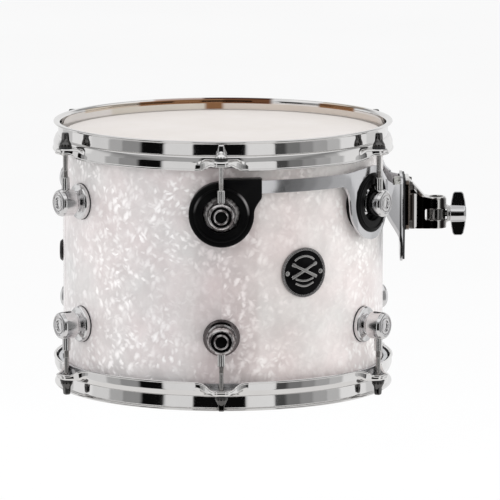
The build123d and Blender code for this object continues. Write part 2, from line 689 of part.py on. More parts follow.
# Arm socket, (distance round, height above the shell's middle): top, then its curved lower end
SOCKET_TOP = ((0, 58.0), (0, 88.0), (4.0, 91.2), (37.4, 91.2), (37.4, 73.0))
SOCKET_CURVE = ((37.4, 73.0), (33.0, 69.6), (30.4, 65.0), (29.0, 58.0))
# Space for the plate's eye and link, a little larger than EYE_LINK
SLOT_OUTLINE = (
    (0, LUG_OFFSET), (24.5, LUG_OFFSET + 2), (29.1, 77.4), (40.0, 77.4),
    (40.0, 89.6), (29.9, 89.6), (2, 82.5),
)


def pad_blank(angle, has_socket):
    """Round rubber grommet whose thin floor lies under the lug, with or without an arm socket."""
    with BuildPart() as blank:
        with BuildSketch(radial_plane(angle, Z_LUG_TOP, 150)):
            Circle(PAD_R + 2.2 if has_socket else PAD_R)
        extrude(amount=PAD_FACE_R - 150)
        rims = blank.edges().filter_by(GeomType.CIRCLE)
        outermost = rims.sort_by(lambda e: -hypot(e.center().X, e.center().Y))[0:1]
        chamfer(outermost, length=1.6)
        if has_socket:
            with BuildSketch(radial_plane(angle, MID_Z, 148)):
                with BuildLine():
                    Polyline(*SOCKET_TOP)
                    Spline(*SOCKET_CURVE)
                    Line(SOCKET_CURVE[-1], SOCKET_TOP[0])
                make_face()
            extrude(amount=16.5)
            # trim to the round outer face
            with BuildSketch(Plane.XY.offset(Z_LUG_TOP - 40)):
                Circle(200)
                Circle(PAD_FACE_R, mode=Mode.SUBTRACT)
            extrude(amount=80, mode=Mode.SUBTRACT)
        # opening for the lug foot; the floor is added under it below
        with BuildSketch(radial_plane(angle, Z_LUG_TOP, 150)):
            Circle(RECESS_R)
        extrude(amount=15, mode=Mode.SUBTRACT)
        with BuildSketch(Plane.XY.offset(Z_LUG_TOP - 40)):
            Circle(PAD_BORE_R)
        extrude(amount=90, mode=Mode.SUBTRACT)
    with BuildPart() as floor:
        with BuildSketch(Plane.XY.offset(Z_LUG_TOP - 25)):
            Circle(LUG_SEAT_R)
            Circle(PAD_BORE_R, mode=Mode.SUBTRACT)
        extrude(amount=50)
        with BuildSketch(radial_plane(angle, Z_LUG_TOP, 140)):
            Circle(RECESS_R + 0.6)
            with Locations(*SCREW_SPOTS):
                Circle(SCREW_HOLE_R, mode=Mode.SUBTRACT)
        extrude(amount=30, mode=Mode.INTERSECT)
    with BuildPart() as whole:
        add(blank.part)
        add(floor.part)
    return whole


with BuildPart() as groove_ring:
    # ring the plate lies in, with a hair of clearance on both faces
    with BuildSketch(Plane.XY.offset(Z_LUG_TOP - 45)):
        Circle(PLATE_OUT_R + 0.05)
        Circle(PLATE_IN_R - 0.05, mode=Mode.SUBTRACT)
    extrude(amount=90)

with BuildPart() as inner_groove:
    add(groove_ring.part)
    with BuildSketch(radial_plane(60, Z_LUG_TOP, 140)):
        Circle(40)
        Circle(24.4, mode=Mode.SUBTRACT)
    extrude(amount=30, mode=Mode.INTERSECT)

inner_blank = pad_blank(60, has_socket=False)
with BuildPart() as inner_pad:
    add(inner_blank.part)
    add(inner_groove.part, mode=Mode.SUBTRACT)
with BuildPart() as inner_isolation_pads:
    add(inner_pad.part)
    add(inner_pad.part.moved(Location((0, 0, 0), (0, 0, 60))))
save(inner_isolation_pads, "inner_isolation_pads")

with BuildPart() as outer_groove:
    add(groove_ring.part)
    with BuildSketch(radial_plane(0, MID_Z, 140)):
        with Locations((0, LUG_OFFSET)):
            Circle(24.6)
        with BuildLine():
            Polyline(*SLOT_OUTLINE, close=True)
        make_face()
    extrude(amount=30, mode=Mode.INTERSECT)

outer_blank = pad_blank(0, has_socket=True)
with BuildPart() as outer_pad:
    add(outer_blank.part)
    add(outer_groove.part, mode=Mode.SUBTRACT)
with BuildPart() as outer_isolation_pads:
    add(outer_pad.part)
    add(mirror(outer_pad.part, about=Plane.XZ, mode=Mode.PRIVATE))
save(outer_isolation_pads, "outer_isolation_pads")

# ---------------------------------------------------------------- rod clamp bracket
BORE_X = 202.0               # axis of the rod clamp bore
BARREL_R = 10.0
BARREL_LOW = 22.0            # foot of the barrel above the shell's middle
BORE_R = 6.45                # takes a 12.7 mm mounting rod
STUD_RISE = 35.5             # eyebolt's stud above the shell's middle
STUD_Z = MID_Z + STUD_RISE
STUD_R = 3.0
BOSS_X, NUT_SEAT_X = 205.0, 213.6    # round boss the nut's washer bears on
WINDOW_X = (191.4, 212.2)    # window the eyebolt's ring slides in
# (y, height above the middle)
GASKET_OUTLINE = (
    (-25.0, 72.6), (25.0, 72.6), (25.0, 22.0), (14.0, -6.8), (-14.0, -6.8), (-25.0, 22.0),
)
# (x, height above the middle)
WEDGE_OUTLINE = (
    (174.0, BARREL_LOW), (BORE_X, BARREL_LOW), (BORE_X, 50.5), (191.5, 52.5),
    (FOOT_FACE_X, 69.5), (174.0, 70.0),
)
# (x, y) of the wedge's spread towards its foot
SPREAD_CURVE = ((FOOT_FACE_X, -12.2), (180.0, -10.8), (187.0, -BARREL_R + 0.2))
SPREAD_FAR_CURVE = [flip_y(point) for point in reversed(SPREAD_CURVE)]
# (radius about the bore's axis, height above the middle), domed at the top
BARREL_PROFILE = (
    (0, BARREL_LOW), (BARREL_R, BARREL_LOW), (BARREL_R, 49.6), (BARREL_R - 0.6, 51.2),
    (BARREL_R - 1.8, 52.2), (0, 52.2),
)

with BuildPart() as bracket_gasket:
    with BuildSketch(side_plane(FLAT_X)) as sheet:
        with BuildLine():
            Polyline(*GASKET_OUTLINE, close=True)
        make_face()
        fillet(sheet.vertices(), radius=4.0)
        with Locations(*BOLT_SPOTS):
            Circle(BOLT_HOLE_R, mode=Mode.SUBTRACT)
    extrude(amount=BRACKET_GASKET_T)
save(bracket_gasket, "bracket_gasket")

with BuildPart() as bracket_body:
    with BuildSketch(side_plane(BRACKET_X)):
        with Locations((0, 46.5)):
            RectangleRounded(46.0, 49.0, 7.0)
    extrude(amount=BRACKET_FOOT_T)
    # wedge that runs from the foot out to the barrel
    with BuildSketch(front_plane(0, BARREL_R, MID_Z)):
        with BuildLine():
            Polyline(*WEDGE_OUTLINE, close=True)
        make_face()
    extrude(amount=2 * BARREL_R)
    slope_edges = bracket_body.edges().filter_by(
        lambda e: e.center().Z > MID_Z + 54
        and abs(abs(e.center().Y) - BARREL_R) < 0.1
        and 178 < e.center().X < 190)
    fillet(slope_edges, radius=4.0)
    # the wedge spreads towards its foot
    with BuildSketch(Plane.XY.offset(MID_Z + 23.5)):
        with BuildLine():
            Spline(*SPREAD_CURVE)
            Line(SPREAD_CURVE[-1], SPREAD_FAR_CURVE[0])
            Spline(*SPREAD_FAR_CURVE)
            Polyline(SPREAD_FAR_CURVE[-1], (175.0, 12.2), (175.0, -12.2), SPREAD_CURVE[0])
        make_face()
    extrude(amount=32.0)
    # barrel for the mounting rod
    with BuildSketch(front_plane(BORE_X, 0, MID_Z)):
        with BuildLine():
            Polyline(*BARREL_PROFILE, close=True)
        make_face()
    revolve(axis=Axis((BORE_X, 0, MID_Z), (0, 0, 1)))
    # boss for the nut washer
    with BuildSketch(side_plane(BOSS_X)):
        with Locations((0, STUD_RISE)):
            Circle(8.2)
    extrude(amount=NUT_SEAT_X - BOSS_X)
    with BuildSketch(Plane.XY.offset(MID_Z + 10)):
        with Locations((BORE_X, 0)):
            Circle(BORE_R)
    extrude(amount=60, mode=Mode.SUBTRACT)
    with BuildSketch(front_plane(0, 20, MID_Z)):
        with Locations((sum(WINDOW_X) / 2, STUD_RISE)):
            RectangleRounded(WINDOW_X[1] - WINDOW_X[0], 10.2, 0.6)
    extrude(amount=40, mode=Mode.SUBTRACT)
    # stud hole, then bolt holes
    with BuildSketch(side_plane(BOSS_X)):
        with Locations((0, STUD_RISE)):
            Circle(3.2)
    extrude(amount=14, mode=Mode.SUBTRACT)
    with BuildSketch(side_plane(165.0)):
        with Locations(*BOLT_SPOTS):
            Circle(BOLT_HOLE_R)
    extrude(amount=15, mode=Mode.SUBTRACT)
save(bracket_body, "bracket_body")

# ---------------------------------------------------------------- eyebolt and wing nut
EYE_H = 9.6                  # height of the eyebolt's ring
with BuildPart() as clamp_eyebolt:
    with BuildSketch(Plane.XY.offset(STUD_Z - EYE_H / 2)):
        with Locations((BORE_X, 0)):
            Circle(9.0)
    extrude(amount=EYE_H)
    with BuildSketch(side_plane(209.0)):
        with Locations((0, STUD_RISE)):
            Circle(STUD_R)
    extrude(amount=19.6)
    with BuildSketch(Plane.XY.offset(STUD_Z - 10)):
        with Locations((BORE_X, 0)):
            Circle(6.6)
    extrude(amount=20, mode=Mode.SUBTRACT)
    chamfer(clamp_eyebolt.faces().sort_by(Axis.X)[-1].edges(), length=0.6)
save(clamp_eyebolt, "clamp_eyebolt")

with BuildPart() as wing_nut_washer:
    with BuildSketch(side_plane(NUT_SEAT_X)):
        with Locations((0, STUD_RISE)):
            Circle(7.4)
            Circle(3.25, mode=Mode.SUBTRACT)
    extrude(amount=1.2)
save(wing_nut_washer, "wing_nut_washer")

# (x, radius about the stud) of the hub, and (x, height above the stud) of the upper lobe
HUB_PROFILE = ((214.9, 0), (214.9, 7.4), (215.5, 7.8), (228.8, 7.4), (230.6, 6.2), (230.6, 0))
LOBE_OUTLINE = (
    (216.0, 0), (215.8, 7.0), (216.4, 12.0), (217.8, 19.2), (219.6, 20.9),
    (226.2, 20.9), (228.0, 19.2), (229.6, 12.0), (230.2, 7.0), (230.0, 0),
)
LOBE_T = 4.0
with BuildPart() as wing_nut:
    with BuildSketch(front_plane(0, 0, STUD_Z)):
        with BuildLine():
            Polyline(*HUB_PROFILE, close=True)
        make_face()
    revolve(axis=Axis((0, 0, STUD_Z), (1, 0, 0)))
    # a broad lobe and its mirror image
    with BuildSketch(front_plane(0, LOBE_T / 2, STUD_Z)):
        with BuildLine():
            Polyline(*LOBE_OUTLINE, close=True)
        make_face()
        mirror(about=Plane(origin=(0, 0, STUD_Z), x_dir=(1, 0, 0), z_dir=(0, 0, 1)))
    extrude(amount=LOBE_T)
    with BuildSketch(side_plane(210.0)):
        with Locations((0, STUD_RISE)):
            Circle(STUD_R + 0.05)
    extrude(amount=20, mode=Mode.SUBTRACT)
save(wing_nut, "wing_nut")

# ---------------------------------------------------------------- bracket fasteners
BRACKET_WASHER_T, BRACKET_NUT_T = 1.0, 4.0
WASHER_FACE_X = FLAT_X - PLATE_T - BRACKET_WASHER_T  # washers lie on the plate's inner face


def bolted(label, start_x, thickness, outer_r, inner_r, hexagon=False):
    """One round or six-sided fastener piece at each of the clamp's four bolts."""
    with BuildPart() as pieces:
        with BuildSketch(side_plane(start_x)):
            with Locations(*BOLT_SPOTS):
                if hexagon:
                    RegularPolygon(outer_r, 6)
                else:
                    Circle(outer_r)
                Circle(inner_r, mode=Mode.SUBTRACT)
        extrude(amount=thickness)
    save(pieces, label)


with BuildPart() as bracket_bolts:
    with BuildSketch(side_plane(161.4)):
        with Locations(*BOLT_SPOTS):
            Circle(2.5)
    extrude(amount=16.0)
    # tapered heads with hexagonal sockets
    with BuildSketch(side_plane(FOOT_FACE_X)):
        with Locations(*BOLT_SPOTS):
            Circle(4.5)
    extrude(amount=3.0, taper=14)
    with BuildSketch(side_plane(177.0)):
        with Locations(*BOLT_SPOTS):
            RegularPolygon(1.75, 6)
    extrude(amount=4.0, mode=Mode.SUBTRACT)
save(bracket_bolts, "bracket_bolts")
bolted("bracket_washers", WASHER_FACE_X, BRACKET_WASHER_T, 5.0, 2.65)
bolted("bracket_nuts", WASHER_FACE_X - BRACKET_NUT_T, BRACKET_NUT_T, 4.5, 2.55, hexagon=True)
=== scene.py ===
import math
import bmesh
import bpy
import numpy as np
from mathutils import Matrix, Vector


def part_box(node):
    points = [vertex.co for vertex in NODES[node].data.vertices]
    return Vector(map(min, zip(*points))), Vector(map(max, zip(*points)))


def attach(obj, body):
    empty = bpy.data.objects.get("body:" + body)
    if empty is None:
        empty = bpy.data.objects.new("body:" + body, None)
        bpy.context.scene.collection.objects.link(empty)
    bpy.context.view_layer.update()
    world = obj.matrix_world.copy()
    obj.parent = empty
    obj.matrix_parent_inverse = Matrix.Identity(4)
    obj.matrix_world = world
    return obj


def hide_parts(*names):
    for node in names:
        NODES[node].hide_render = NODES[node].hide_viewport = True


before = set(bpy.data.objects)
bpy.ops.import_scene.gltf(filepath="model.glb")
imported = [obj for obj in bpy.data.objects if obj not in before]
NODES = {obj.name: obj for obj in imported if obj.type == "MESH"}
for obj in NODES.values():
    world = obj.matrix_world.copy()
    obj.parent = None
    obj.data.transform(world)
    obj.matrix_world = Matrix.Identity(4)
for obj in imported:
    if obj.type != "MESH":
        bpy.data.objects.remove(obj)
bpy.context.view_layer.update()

MM = 0.001

# ------------------------------------------------------------------ the drum's main sizes, read off the frame
WRAP_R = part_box("shell_wrap")[1].x
WRAP_LO, WRAP_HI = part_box("shell_wrap")[0].z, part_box("shell_wrap")[1].z
MID_Z = (WRAP_LO + WRAP_HI) / 2
HOOP_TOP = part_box("batter_hoop")[1].z
LUG_Z = (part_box("lug_housings_batter")[0].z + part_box("lug_housings_batter")[1].z) / 2
ROD_R = 0.1685
LUG_ANGLES = [60 * i for i in range(6)]


# ------------------------------------------------------------------ mesh helpers
def new_mesh(name, verts, faces, sharp=32.0):
    mesh = bpy.data.meshes.new(name)
    mesh.from_pydata([tuple(v) for v in verts], [], [tuple(f) for f in faces])
    mesh.validate()
    mesh.update()
    return finish_mesh(name, mesh, sharp)


def finish_mesh(name, mesh, sharp=32.0):
    mesh.polygons.foreach_set("use_smooth", [True] * len(mesh.polygons))
    if sharp is not None:
        mesh.set_sharp_from_angle(angle=math.radians(sharp))
    obj = bpy.data.objects.new(name, mesh)
    bpy.context.scene.collection.objects.link(obj)
    return obj


def grid_faces(rows, cols, close_rows=False, close_cols=True, flip=False, base=0):
    """Quads over a rows x cols grid of vertices, joined round in either direction."""
    out = []
    for i in range(rows if close_rows else rows - 1):
        a, b = base + i * cols, base + ((i + 1) % rows) * cols
        for j in range(cols if close_cols else cols - 1):
            k = (j + 1) % cols
            q = (a + j, a + k, b + k, b + j)
            out.append(q[::-1] if flip else q)
    return out


def lathe(profile, segs, closed=False):
    """Verts and faces of a profile [(radius, height), ...] turned about local Z. A zero radius at either end closes on one vertex."""
    verts, faces, ring = [], [], []
    for r, h in profile:
        if r < 1e-7:
            ring.append([len(verts)])
            verts.append((0.0, 0.0, h))
        else:
            ring.append(list(range(len(verts), len(verts) + segs)))
            for j in range(segs):
                a = 2 * math.pi * j / segs
                verts.append((r * math.cos(a), r * math.sin(a), h))
    pairs = list(zip(ring, ring[1:])) + ([(ring[-1], ring[0])] if closed else [])
    for lo, hi in pairs:
        for j in range(segs):
            k = (j + 1) % segs
            if len(lo) == 1 and len(hi) == 1:
                continue
            if len(lo) == 1:
                faces.append((lo[0], hi[k], hi[j]))
            elif len(hi) == 1:
                faces.append((lo[j], lo[k], hi[0]))
            else:
                faces.append((lo[j], lo[k], hi[k], hi[j]))
    return verts, faces


def rounded(points, default=0.0, steps=5, closed=False):
    """A polyline with its corners rounded: points are (r, h) or (r, h, radius)."""
    pts = [(p[0], p[1], p[2] if len(p) > 2 else default) for p in points]
    out = []
    n = len(pts)
    for i, (x, y, rad) in enumerate(pts):
        if rad <= 0 or (not closed and i in (0, n - 1)):
            out.append((x, y))
            continue
        p, a, b = np.array((x, y)), np.array(pts[i - 1][:2]), np.array(pts[(i + 1) % n][:2])
        u, v = (a - p), (b - p)
        lu, lv = np.linalg.norm(u), np.linalg.norm(v)
        u, v = u / lu, v / lv
        ang = math.acos(max(-1.0, min(1.0, float(u @ v))))
        if ang > math.pi - 1e-3:
            out.append((x, y))
            continue
        cut = min(rad / math.tan(ang / 2), 0.49 * lu, 0.49 * lv)
        rad = cut * math.tan(ang / 2)
        c = p + (u + v) / np.linalg.norm(u + v) * (rad / math.sin(ang / 2))
        s, e = p + u * cut - c, p + v * cut - c
        a0, a1 = math.atan2(s[1], s[0]), math.atan2(e[1], e[0])
        d = (a1 - a0 + math.pi) % (2 * math.pi) - math.pi
        for k in range(steps + 1):
            t = a0 + d * k / steps
            out.append((c[0] + rad * math.cos(t), c[1] + rad * math.sin(t)))
    return out


def radial_matrix(angle, z, r=0.0):
    """Local x runs round the drum, local y is up, local z points straight out."""
    a = math.radians(angle)
    out, along, up = Vector((math.sin(a), -math.cos(a), 0)), Vector((math.cos(a), math.sin(a), 0)), Vector((0, 0, 1))
    m = Matrix((along, up, out)).transposed().to_4x4()
    m.translation = out * r + Vector((0, 0, z))
    return m


def join(parts):
    """Several (verts, faces, matrix) as one list of verts and faces."""
    verts, faces = [], []
    for v, f, m in parts:
        base = len(verts)
        turned = m.determinant() < 0
        verts += [tuple(m @ Vector(p)) for p in v]
        faces += [tuple(base + i for i in (q[::-1] if turned else q)) for q in f]
    return verts, faces


def boolean(obj, cutter, op="DIFFERENCE", solver="EXACT", sharp=32.0):
    mod = obj.modifiers.new("cut", "BOOLEAN")
    mod.operation, mod.object, mod.solver = op, cutter, solver
    dg = bpy.context.evaluated_depsgraph_get()
    mesh = bpy.data.meshes.new_from_object(obj.evaluated_get(dg), preserve_all_data_layers=True, depsgraph=dg)
    obj.modifiers.remove(mod)
    obj.data = mesh
    bpy.data.objects.remove(cutter)
    mesh.polygons.foreach_set("use_smooth", [True] * len(mesh.polygons))
    if sharp is not None:
        mesh.set_sharp_from_angle(angle=math.radians(sharp))
    return obj


def place(obj, body, material, slot, *replaced):
    mats = material if isinstance(material, (list, tuple)) else [material]
    if not obj.data.materials:
        for m in mats:
            obj.data.materials.append(m)
    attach(obj, body)
    if replaced:
        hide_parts(*replaced)
    return obj


def smoothstep(x):
    x = np.clip(x, 0, 1)
    return x * x * (3 - 2 * x)


MIRROR = Matrix.Translation((0, 0, MID_Z)) @ Matrix.Diagonal((1, 1, -1, 1)) @ Matrix.Translation((0, 0, -MID_Z))


# ------------------------------------------------------------------ material helpers
class Nodes:
    """Small wrapper that keeps node code short."""

    def __init__(self, tree):
        self.tree = tree
        self.nodes, self.links = tree.nodes, tree.links

    def add(self, kind, **values):
        n = self.nodes.new(kind)
        for k, v in values.items():
            if k.startswith("i_"):
                key = k[2:]
                key = int(key) if key.isdigit() else key.replace("_", " ")
                self.put(n.inputs[key], v)
            else:
                setattr(n, k, v)
        return n

    def put(self, socket, v):
        if isinstance(v, bpy.types.NodeSocket):
            self.links.new(v, socket)
        elif v is not None:
            socket.default_value = v

    def math(self, op, a, b=None, c=None, clamp=False):
        n = self.nodes.new("ShaderNodeMath")
        n.operation, n.use_clamp = op, clamp
        for i, v in enumerate((a, b, c)):
            if v is not None:
                self.put(n.inputs[i], v)
        return n.outputs[0]

    def ramp(self, fac, stops, mode="LINEAR"):
        n = self.nodes.new("ShaderNodeValToRGB")
        n.color_ramp.interpolation = mode
        el = n.color_ramp.elements
        while len(el) > 1:
            el.remove(el[-1])
        el[0].position = stops[0][0]
        el[0].color = colour(stops[0][1])
        for pos, c in stops[1:]:
            e = el.new(pos)
            e.color = colour(c)
        self.put(n.inputs[0], fac)
        return n.outputs[0]

    def mix(self, fac, a, b, blend="MIX"):
        n = self.nodes.new("ShaderNodeMix")
        n.data_type, n.blend_type = "RGBA", blend
        self.put(n.inputs[0], fac)
        self.put(n.inputs[6], a if isinstance(a, bpy.types.NodeSocket) else colour(a))
        self.put(n.inputs[7], b if isinstance(b, bpy.types.NodeSocket) else colour(b))
        return n.outputs[2]

    def range(self, v, a, b, c, d, clamp=True, mode="LINEAR"):
        n = self.nodes.new("ShaderNodeMapRange")
        n.clamp, n.interpolation_type = clamp, mode
        self.put(n.inputs[0], v)
        for i, x in enumerate((a, b, c, d)):
            self.put(n.inputs[i + 1], x)
        return n.outputs[0]

    def noise(self, vec, scale, detail=3.0, rough=0.5, distort=0.0, out=0):
        n = self.add("ShaderNodeTexNoise", i_Scale=scale, i_Detail=detail, i_Roughness=rough, i_Distortion=distort)
        self.put(n.inputs["Vector"], vec)
        return n.outputs[out]

    def mapping(self, vec, scale=(1, 1, 1), rot=(0, 0, 0), loc=(0, 0, 0)):
        n = self.add("ShaderNodeMapping")
        self.put(n.inputs["Vector"], vec)
        n.inputs["Scale"].default_value = scale
        n.inputs["Rotation"].default_value = rot
        n.inputs["Location"].default_value = loc
        return n.outputs[0]

    def bump(self, height, strength, distance, normal=None):
        n = self.add("ShaderNodeBump", i_Strength=strength, i_Distance=distance)
        self.put(n.inputs["Height"], height)
        if normal is not None:
            self.put(n.inputs["Normal"], normal)
        return n.outputs[0]


def colour(c):
    if isinstance(c, (int, float)):
        return (c, c, c, 1.0)
    return tuple(c) if len(c) == 4 else (*c, 1.0)


def material(name):
    m = bpy.data.materials.new(name)
    m.use_nodes = True
    n = Nodes(m.node_tree)
    bsdf = next(x for x in m.node_tree.nodes if x.type == "BSDF_PRINCIPLED")
    pos = n.add("ShaderNodeTexCoord").outputs["Object"]
    return m, n, bsdf, pos


def chrome(name, tint=(0.80, 0.79, 0.783), rough=0.045, brushed=0.0):
    return chrome_parts(name, tint, rough, brushed)[0]


def chrome_parts(name, tint, rough, brushed=0.0):
    m, n, b, pos = material(name)
    smear = n.noise(pos, 38.0, 4.0, 0.6)
    speck = n.noise(pos, 900.0, 2.0, 0.5)
    b.inputs["Metallic"].default_value = 1.0
    n.put(b.inputs["Base Color"], n.mix(n.range(smear, 0.3, 0.75, 0.0, 1.0), [c * 0.94 for c in tint], tint))
    r = n.range(smear, 0.35, 0.75, rough * 0.75, rough * 1.9)
    n.put(b.inputs["Roughness"], n.math("ADD", r, n.range(speck, 0.62, 0.8, 0.0, 0.05)))
    fine = n.noise(pos, 55.0, 2.0, 0.4)
    n.put(b.inputs["Normal"], n.bump(n.math("ADD", fine, n.math("MULTIPLY", speck, 0.02)), 0.25, 0.00012))
    if brushed:
        grain = n.noise(n.mapping(pos, (60, 60, 4000)), 1.0, 3.0, 0.6)
        n.put(b.inputs["Roughness"], n.math("ADD", r, n.math("MULTIPLY", grain, brushed)))
    return m, n, b, pos


def satin_metal(name, tint, rough, scale=(900, 900, 900), warm=0.04):
    m, n, b, pos = material(name)
    grain = n.noise(n.mapping(pos, scale), 1.0, 4.0, 0.6)
    blot = n.noise(pos, 60.0, 4.0, 0.6)
    b.inputs["Metallic"].default_value = 1.0
    dark = [c * 0.8 for c in tint]
    n.put(b.inputs["Base Color"], n.mix(n.range(blot, 0.35, 0.7, 0.0, 1.0), dark, tint))
    n.put(b.inputs["Roughness"], n.range(grain, 0.3, 0.7, rough * 0.8, rough * 1.3))
    n.put(b.inputs["Normal"], n.bump(grain, 0.3, 0.00004))
    return m


def rubber(name, base=0.018, rough=0.42, scale=1.0, spec=0.45):
    return rubber_parts(name, base, rough, scale, spec)[0]


def rubber_parts(name, base, rough, scale=1.0, spec=0.45):
    m, n, b, pos = material(name)
    grain = n.noise(pos, 1500.0 * scale, 3.0, 0.6)
    dust = n.noise(pos, 45.0, 5.0, 0.65)
    n.put(b.inputs["Base Color"], n.mix(n.range(dust, 0.45, 0.8, 0.0, 1.0), (base, base, base * 1.1), (base * 2.2, base * 2.2, base * 2.25)))
    n.put(b.inputs["Roughness"], n.range(dust, 0.35, 0.75, rough * 0.85, rough * 1.25))
    n.put(b.inputs["Normal"], n.bump(grain, 0.25, 0.00008))
    b.inputs["Specular IOR Level"].default_value = spec
    return m, n, b, pos


def pearl(name):
    """White marine pearl: small torn flakes of mother-of-pearl, laid every way, under a clear gloss film."""
    m, n, b, pos = material(name)
    uv = n.add("ShaderNodeUVMap", uv_map="wrap").outputs[0]

    def warp_by(vec, scale, amount, seed):
        shift = n.add("ShaderNodeVectorMath", operation="SUBTRACT")
        n.put(shift.inputs[0], n.noise(n.mapping(vec, loc=(seed, seed * 0.37, 0)), scale, 3.0, 0.55, out=1))
        shift.inputs[1].default_value = (0.5, 0.5, 0.5)
        bend = n.add("ShaderNodeVectorMath", operation="MULTIPLY_ADD")
        n.put(bend.inputs[0], shift.outputs[0])
        bend.inputs[1].default_value = (amount, amount, 0.0)
        n.put(bend.inputs[2], vec)
        return bend.outputs[0]

    # flakes gather in drifts, and each layer has its own drift
    bright, soft, tilt = None, None, None
    for k, (turn, long, thin, seed, cut, weight) in enumerate((
            (62, 0.0135, 0.0068, 3.1, 0.48, 1.0), (112, 0.0118, 0.0062, 11.7, 0.52, 1.0), (84, 0.0086, 0.0048, 23.3, 0.52, 0.95),
            (140, 0.0102, 0.0052, 41.9, 0.55, 0.95), (28, 0.0088, 0.0044, 57.2, 0.56, 0.9), (168, 0.0076, 0.0042, 71.4, 0.60, 0.85))):
        warped = warp_by(uv, 90.0, 0.010, seed)
        straight = n.mapping(n.mapping(warped, rot=(0, 0, -math.radians(turn))), (1 / long, 1 / thin, 1), loc=(seed, seed * 0.7, 0))
        v = n.add("ShaderNodeTexVoronoi", feature="F1", voronoi_dimensions="2D")
        n.put(v.inputs["Vector"], straight)
        v.inputs["Scale"].default_value = 1.0
        v.inputs["Randomness"].default_value = 0.9
        sep = n.add("ShaderNodeSeparateColor")
        n.put(sep.inputs[0], v.outputs["Color"])
        flake = n.range(sep.outputs[0], cut, cut + 0.35, 0.0, 1.0)
        core = n.range(v.outputs["Distance"], 0.02, 0.56, 1.0, 0.0, mode="SMOOTHSTEP")
        drift = n.range(n.noise(n.mapping(uv, loc=(seed * 1.7, seed, 0)), 15.0, 2.0, 0.5), 0.43, 0.58, 0.0, 1.0)
        part = n.math("MULTIPLY", n.math("MULTIPLY", flake, core), n.math("MULTIPLY", drift, weight))
        bright = part if bright is None else n.math("MAXIMUM", bright, part)
        wide = n.math("MULTIPLY", n.range(v.outputs["Distance"], 0.2, 0.75, 1.0, 0.0), n.range(sep.outputs[1], 0.45, 1.0, 0.0, 1.0))
        soft = wide if soft is None else n.math("MAXIMUM", soft, wide)
        if k == 0:
            off = n.add("ShaderNodeVectorMath", operation="SUBTRACT")
            n.put(off.inputs[0], v.outputs["Color"])
            off.inputs[1].default_value = (0.5, 0.5, 0.5)
            tilt = off.outputs[0]
    patch = n.range(n.noise(n.mapping(uv, loc=(2.2, 5.1, 0)), 9.0, 2.0, 0.5), 0.40, 0.56, 0.25, 1.0)
    flakes = n.math("MULTIPLY", bright, patch)
    cloud = n.noise(warp_by(uv, 60.0, 0.02, 9.0), 45.0, 4.0, 0.6)
    base = n.mix(n.range(cloud, 0.32, 0.68, 0.0, 1.0), PEARL_LOW, PEARL_HIGH)
    base = n.mix(n.math("MULTIPLY", soft, n.range(cloud, 0.35, 0.6, 0.05, 0.34)), base, PEARL_SILK)
    # slow drifts of rose and of cool grey-green under the flakes
    hue = n.noise(n.mapping(uv, loc=(7.7, 1.3, 0)), 16.0, 2.0, 0.5)
    base = n.mix(n.range(hue, 0.36, 0.62, 0.0, 1.0), n.mix(1.0, base, (0.945, 0.965, 0.965), "MULTIPLY"), n.mix(1.0, base, (1.0, 0.965, 0.968), "MULTIPLY"))
    # painted shade and light on the front of the covering: a dim upright band painted beside the front lugs, and a
    # painted lighter side towards the clamp
    x, y, z = parts_of(n, pos)
    facing = n.range(y, -0.06, -0.01, 1.0, 0.0)
    up = n.math("ADD", 1.0, n.math("MULTIPLY", facing, n.range(x, 0.070, 0.105, 0.0, 0.12)))
    base = n.mix(1.0, base, up, "MULTIPLY")
    col = n.mix(n.range(flakes, 0.05, 0.78, 0.0, 1.0), base, (1.0, 0.985, 0.98))
    # painted shade across the front of the covering, given as tones by x in mm
    painted_shade_tones = [(-155, (1, 1, 1)), (-114, (1, 0.985, 0.98)), (-75, (1, 0.985, 0.985)), (-49, (0.965, 0.96, 0.96)), (-30, (0.935, 0.92, 0.915)),
             (-12, (0.89, 0.84, 0.84)), (3, (0.865, 0.815, 0.81)), (31, (0.86, 0.815, 0.80)), (36, (0.97, 0.945, 0.925)), (60, (0.99, 0.95, 0.93)),
             (90, (1, 0.985, 0.965)), (155, (1, 0.985, 0.97))]
    painted_shade = n.ramp(n.range(x, -0.155, 0.155, 0.0, 1.0), [((v + 155.0) / 310.0, c) for v, c in painted_shade_tones])
    col = n.mix(facing, col, n.mix(1.0, col, painted_shade, "MULTIPLY"))
    n.put(b.inputs["Base Color"], col)
    n.put(b.inputs["Roughness"], n.range(flakes, 0.0, 1.0, 0.55, 0.32))
    b.inputs["Specular IOR Level"].default_value = 0.3
    lean = n.add("ShaderNodeVectorMath", operation="MULTIPLY_ADD")
    n.put(lean.inputs[0], tilt)
    lean.inputs[1].default_value = (0.16, 0.16, 0.16)
    geo = n.add("ShaderNodeNewGeometry")
    n.put(lean.inputs[2], geo.outputs["Normal"])
    unit = n.add("ShaderNodeVectorMath", operation="NORMALIZE")
    n.put(unit.inputs[0], lean.outputs[0])
    n.put(b.inputs["Normal"], unit.outputs[0])
    b.inputs["Coat Weight"].default_value = 0.8
    b.inputs["Coat Roughness"].default_value = 0.05
    b.inputs["Coat IOR"].default_value = 1.45
    wave = n.noise(pos, 22.0, 1.0, 0.3)
    n.put(b.inputs["Coat Normal"], n.bump(wave, 0.2, 0.0004))
    return m


PEARL_LOW, PEARL_HIGH, PEARL_SILK = (0.660, 0.628, 0.622), (0.735, 0.705, 0.698), (0.90, 0.88, 0.87)


def coated(name):
    m, n, b, pos = material(name)
    grit = n.noise(pos, 1400.0, 3.0, 0.7)
    blot = n.noise(pos, 14.0, 4.0, 0.6)
    n.put(b.inputs["Base Color"], n.mix(n.range(blot, 0.35, 0.7, 0.0, 1.0), (0.80, 0.755, 0.715), (0.845, 0.805, 0.775)))
    n.put(b.inputs["Roughness"], n.range(grit, 0.35, 0.65, 0.5, 0.72))
    n.put(b.inputs["Normal"], n.bump(grit, 0.5, 0.00012))
    b.inputs["Specular IOR Level"].default_value = 0.4
    return m


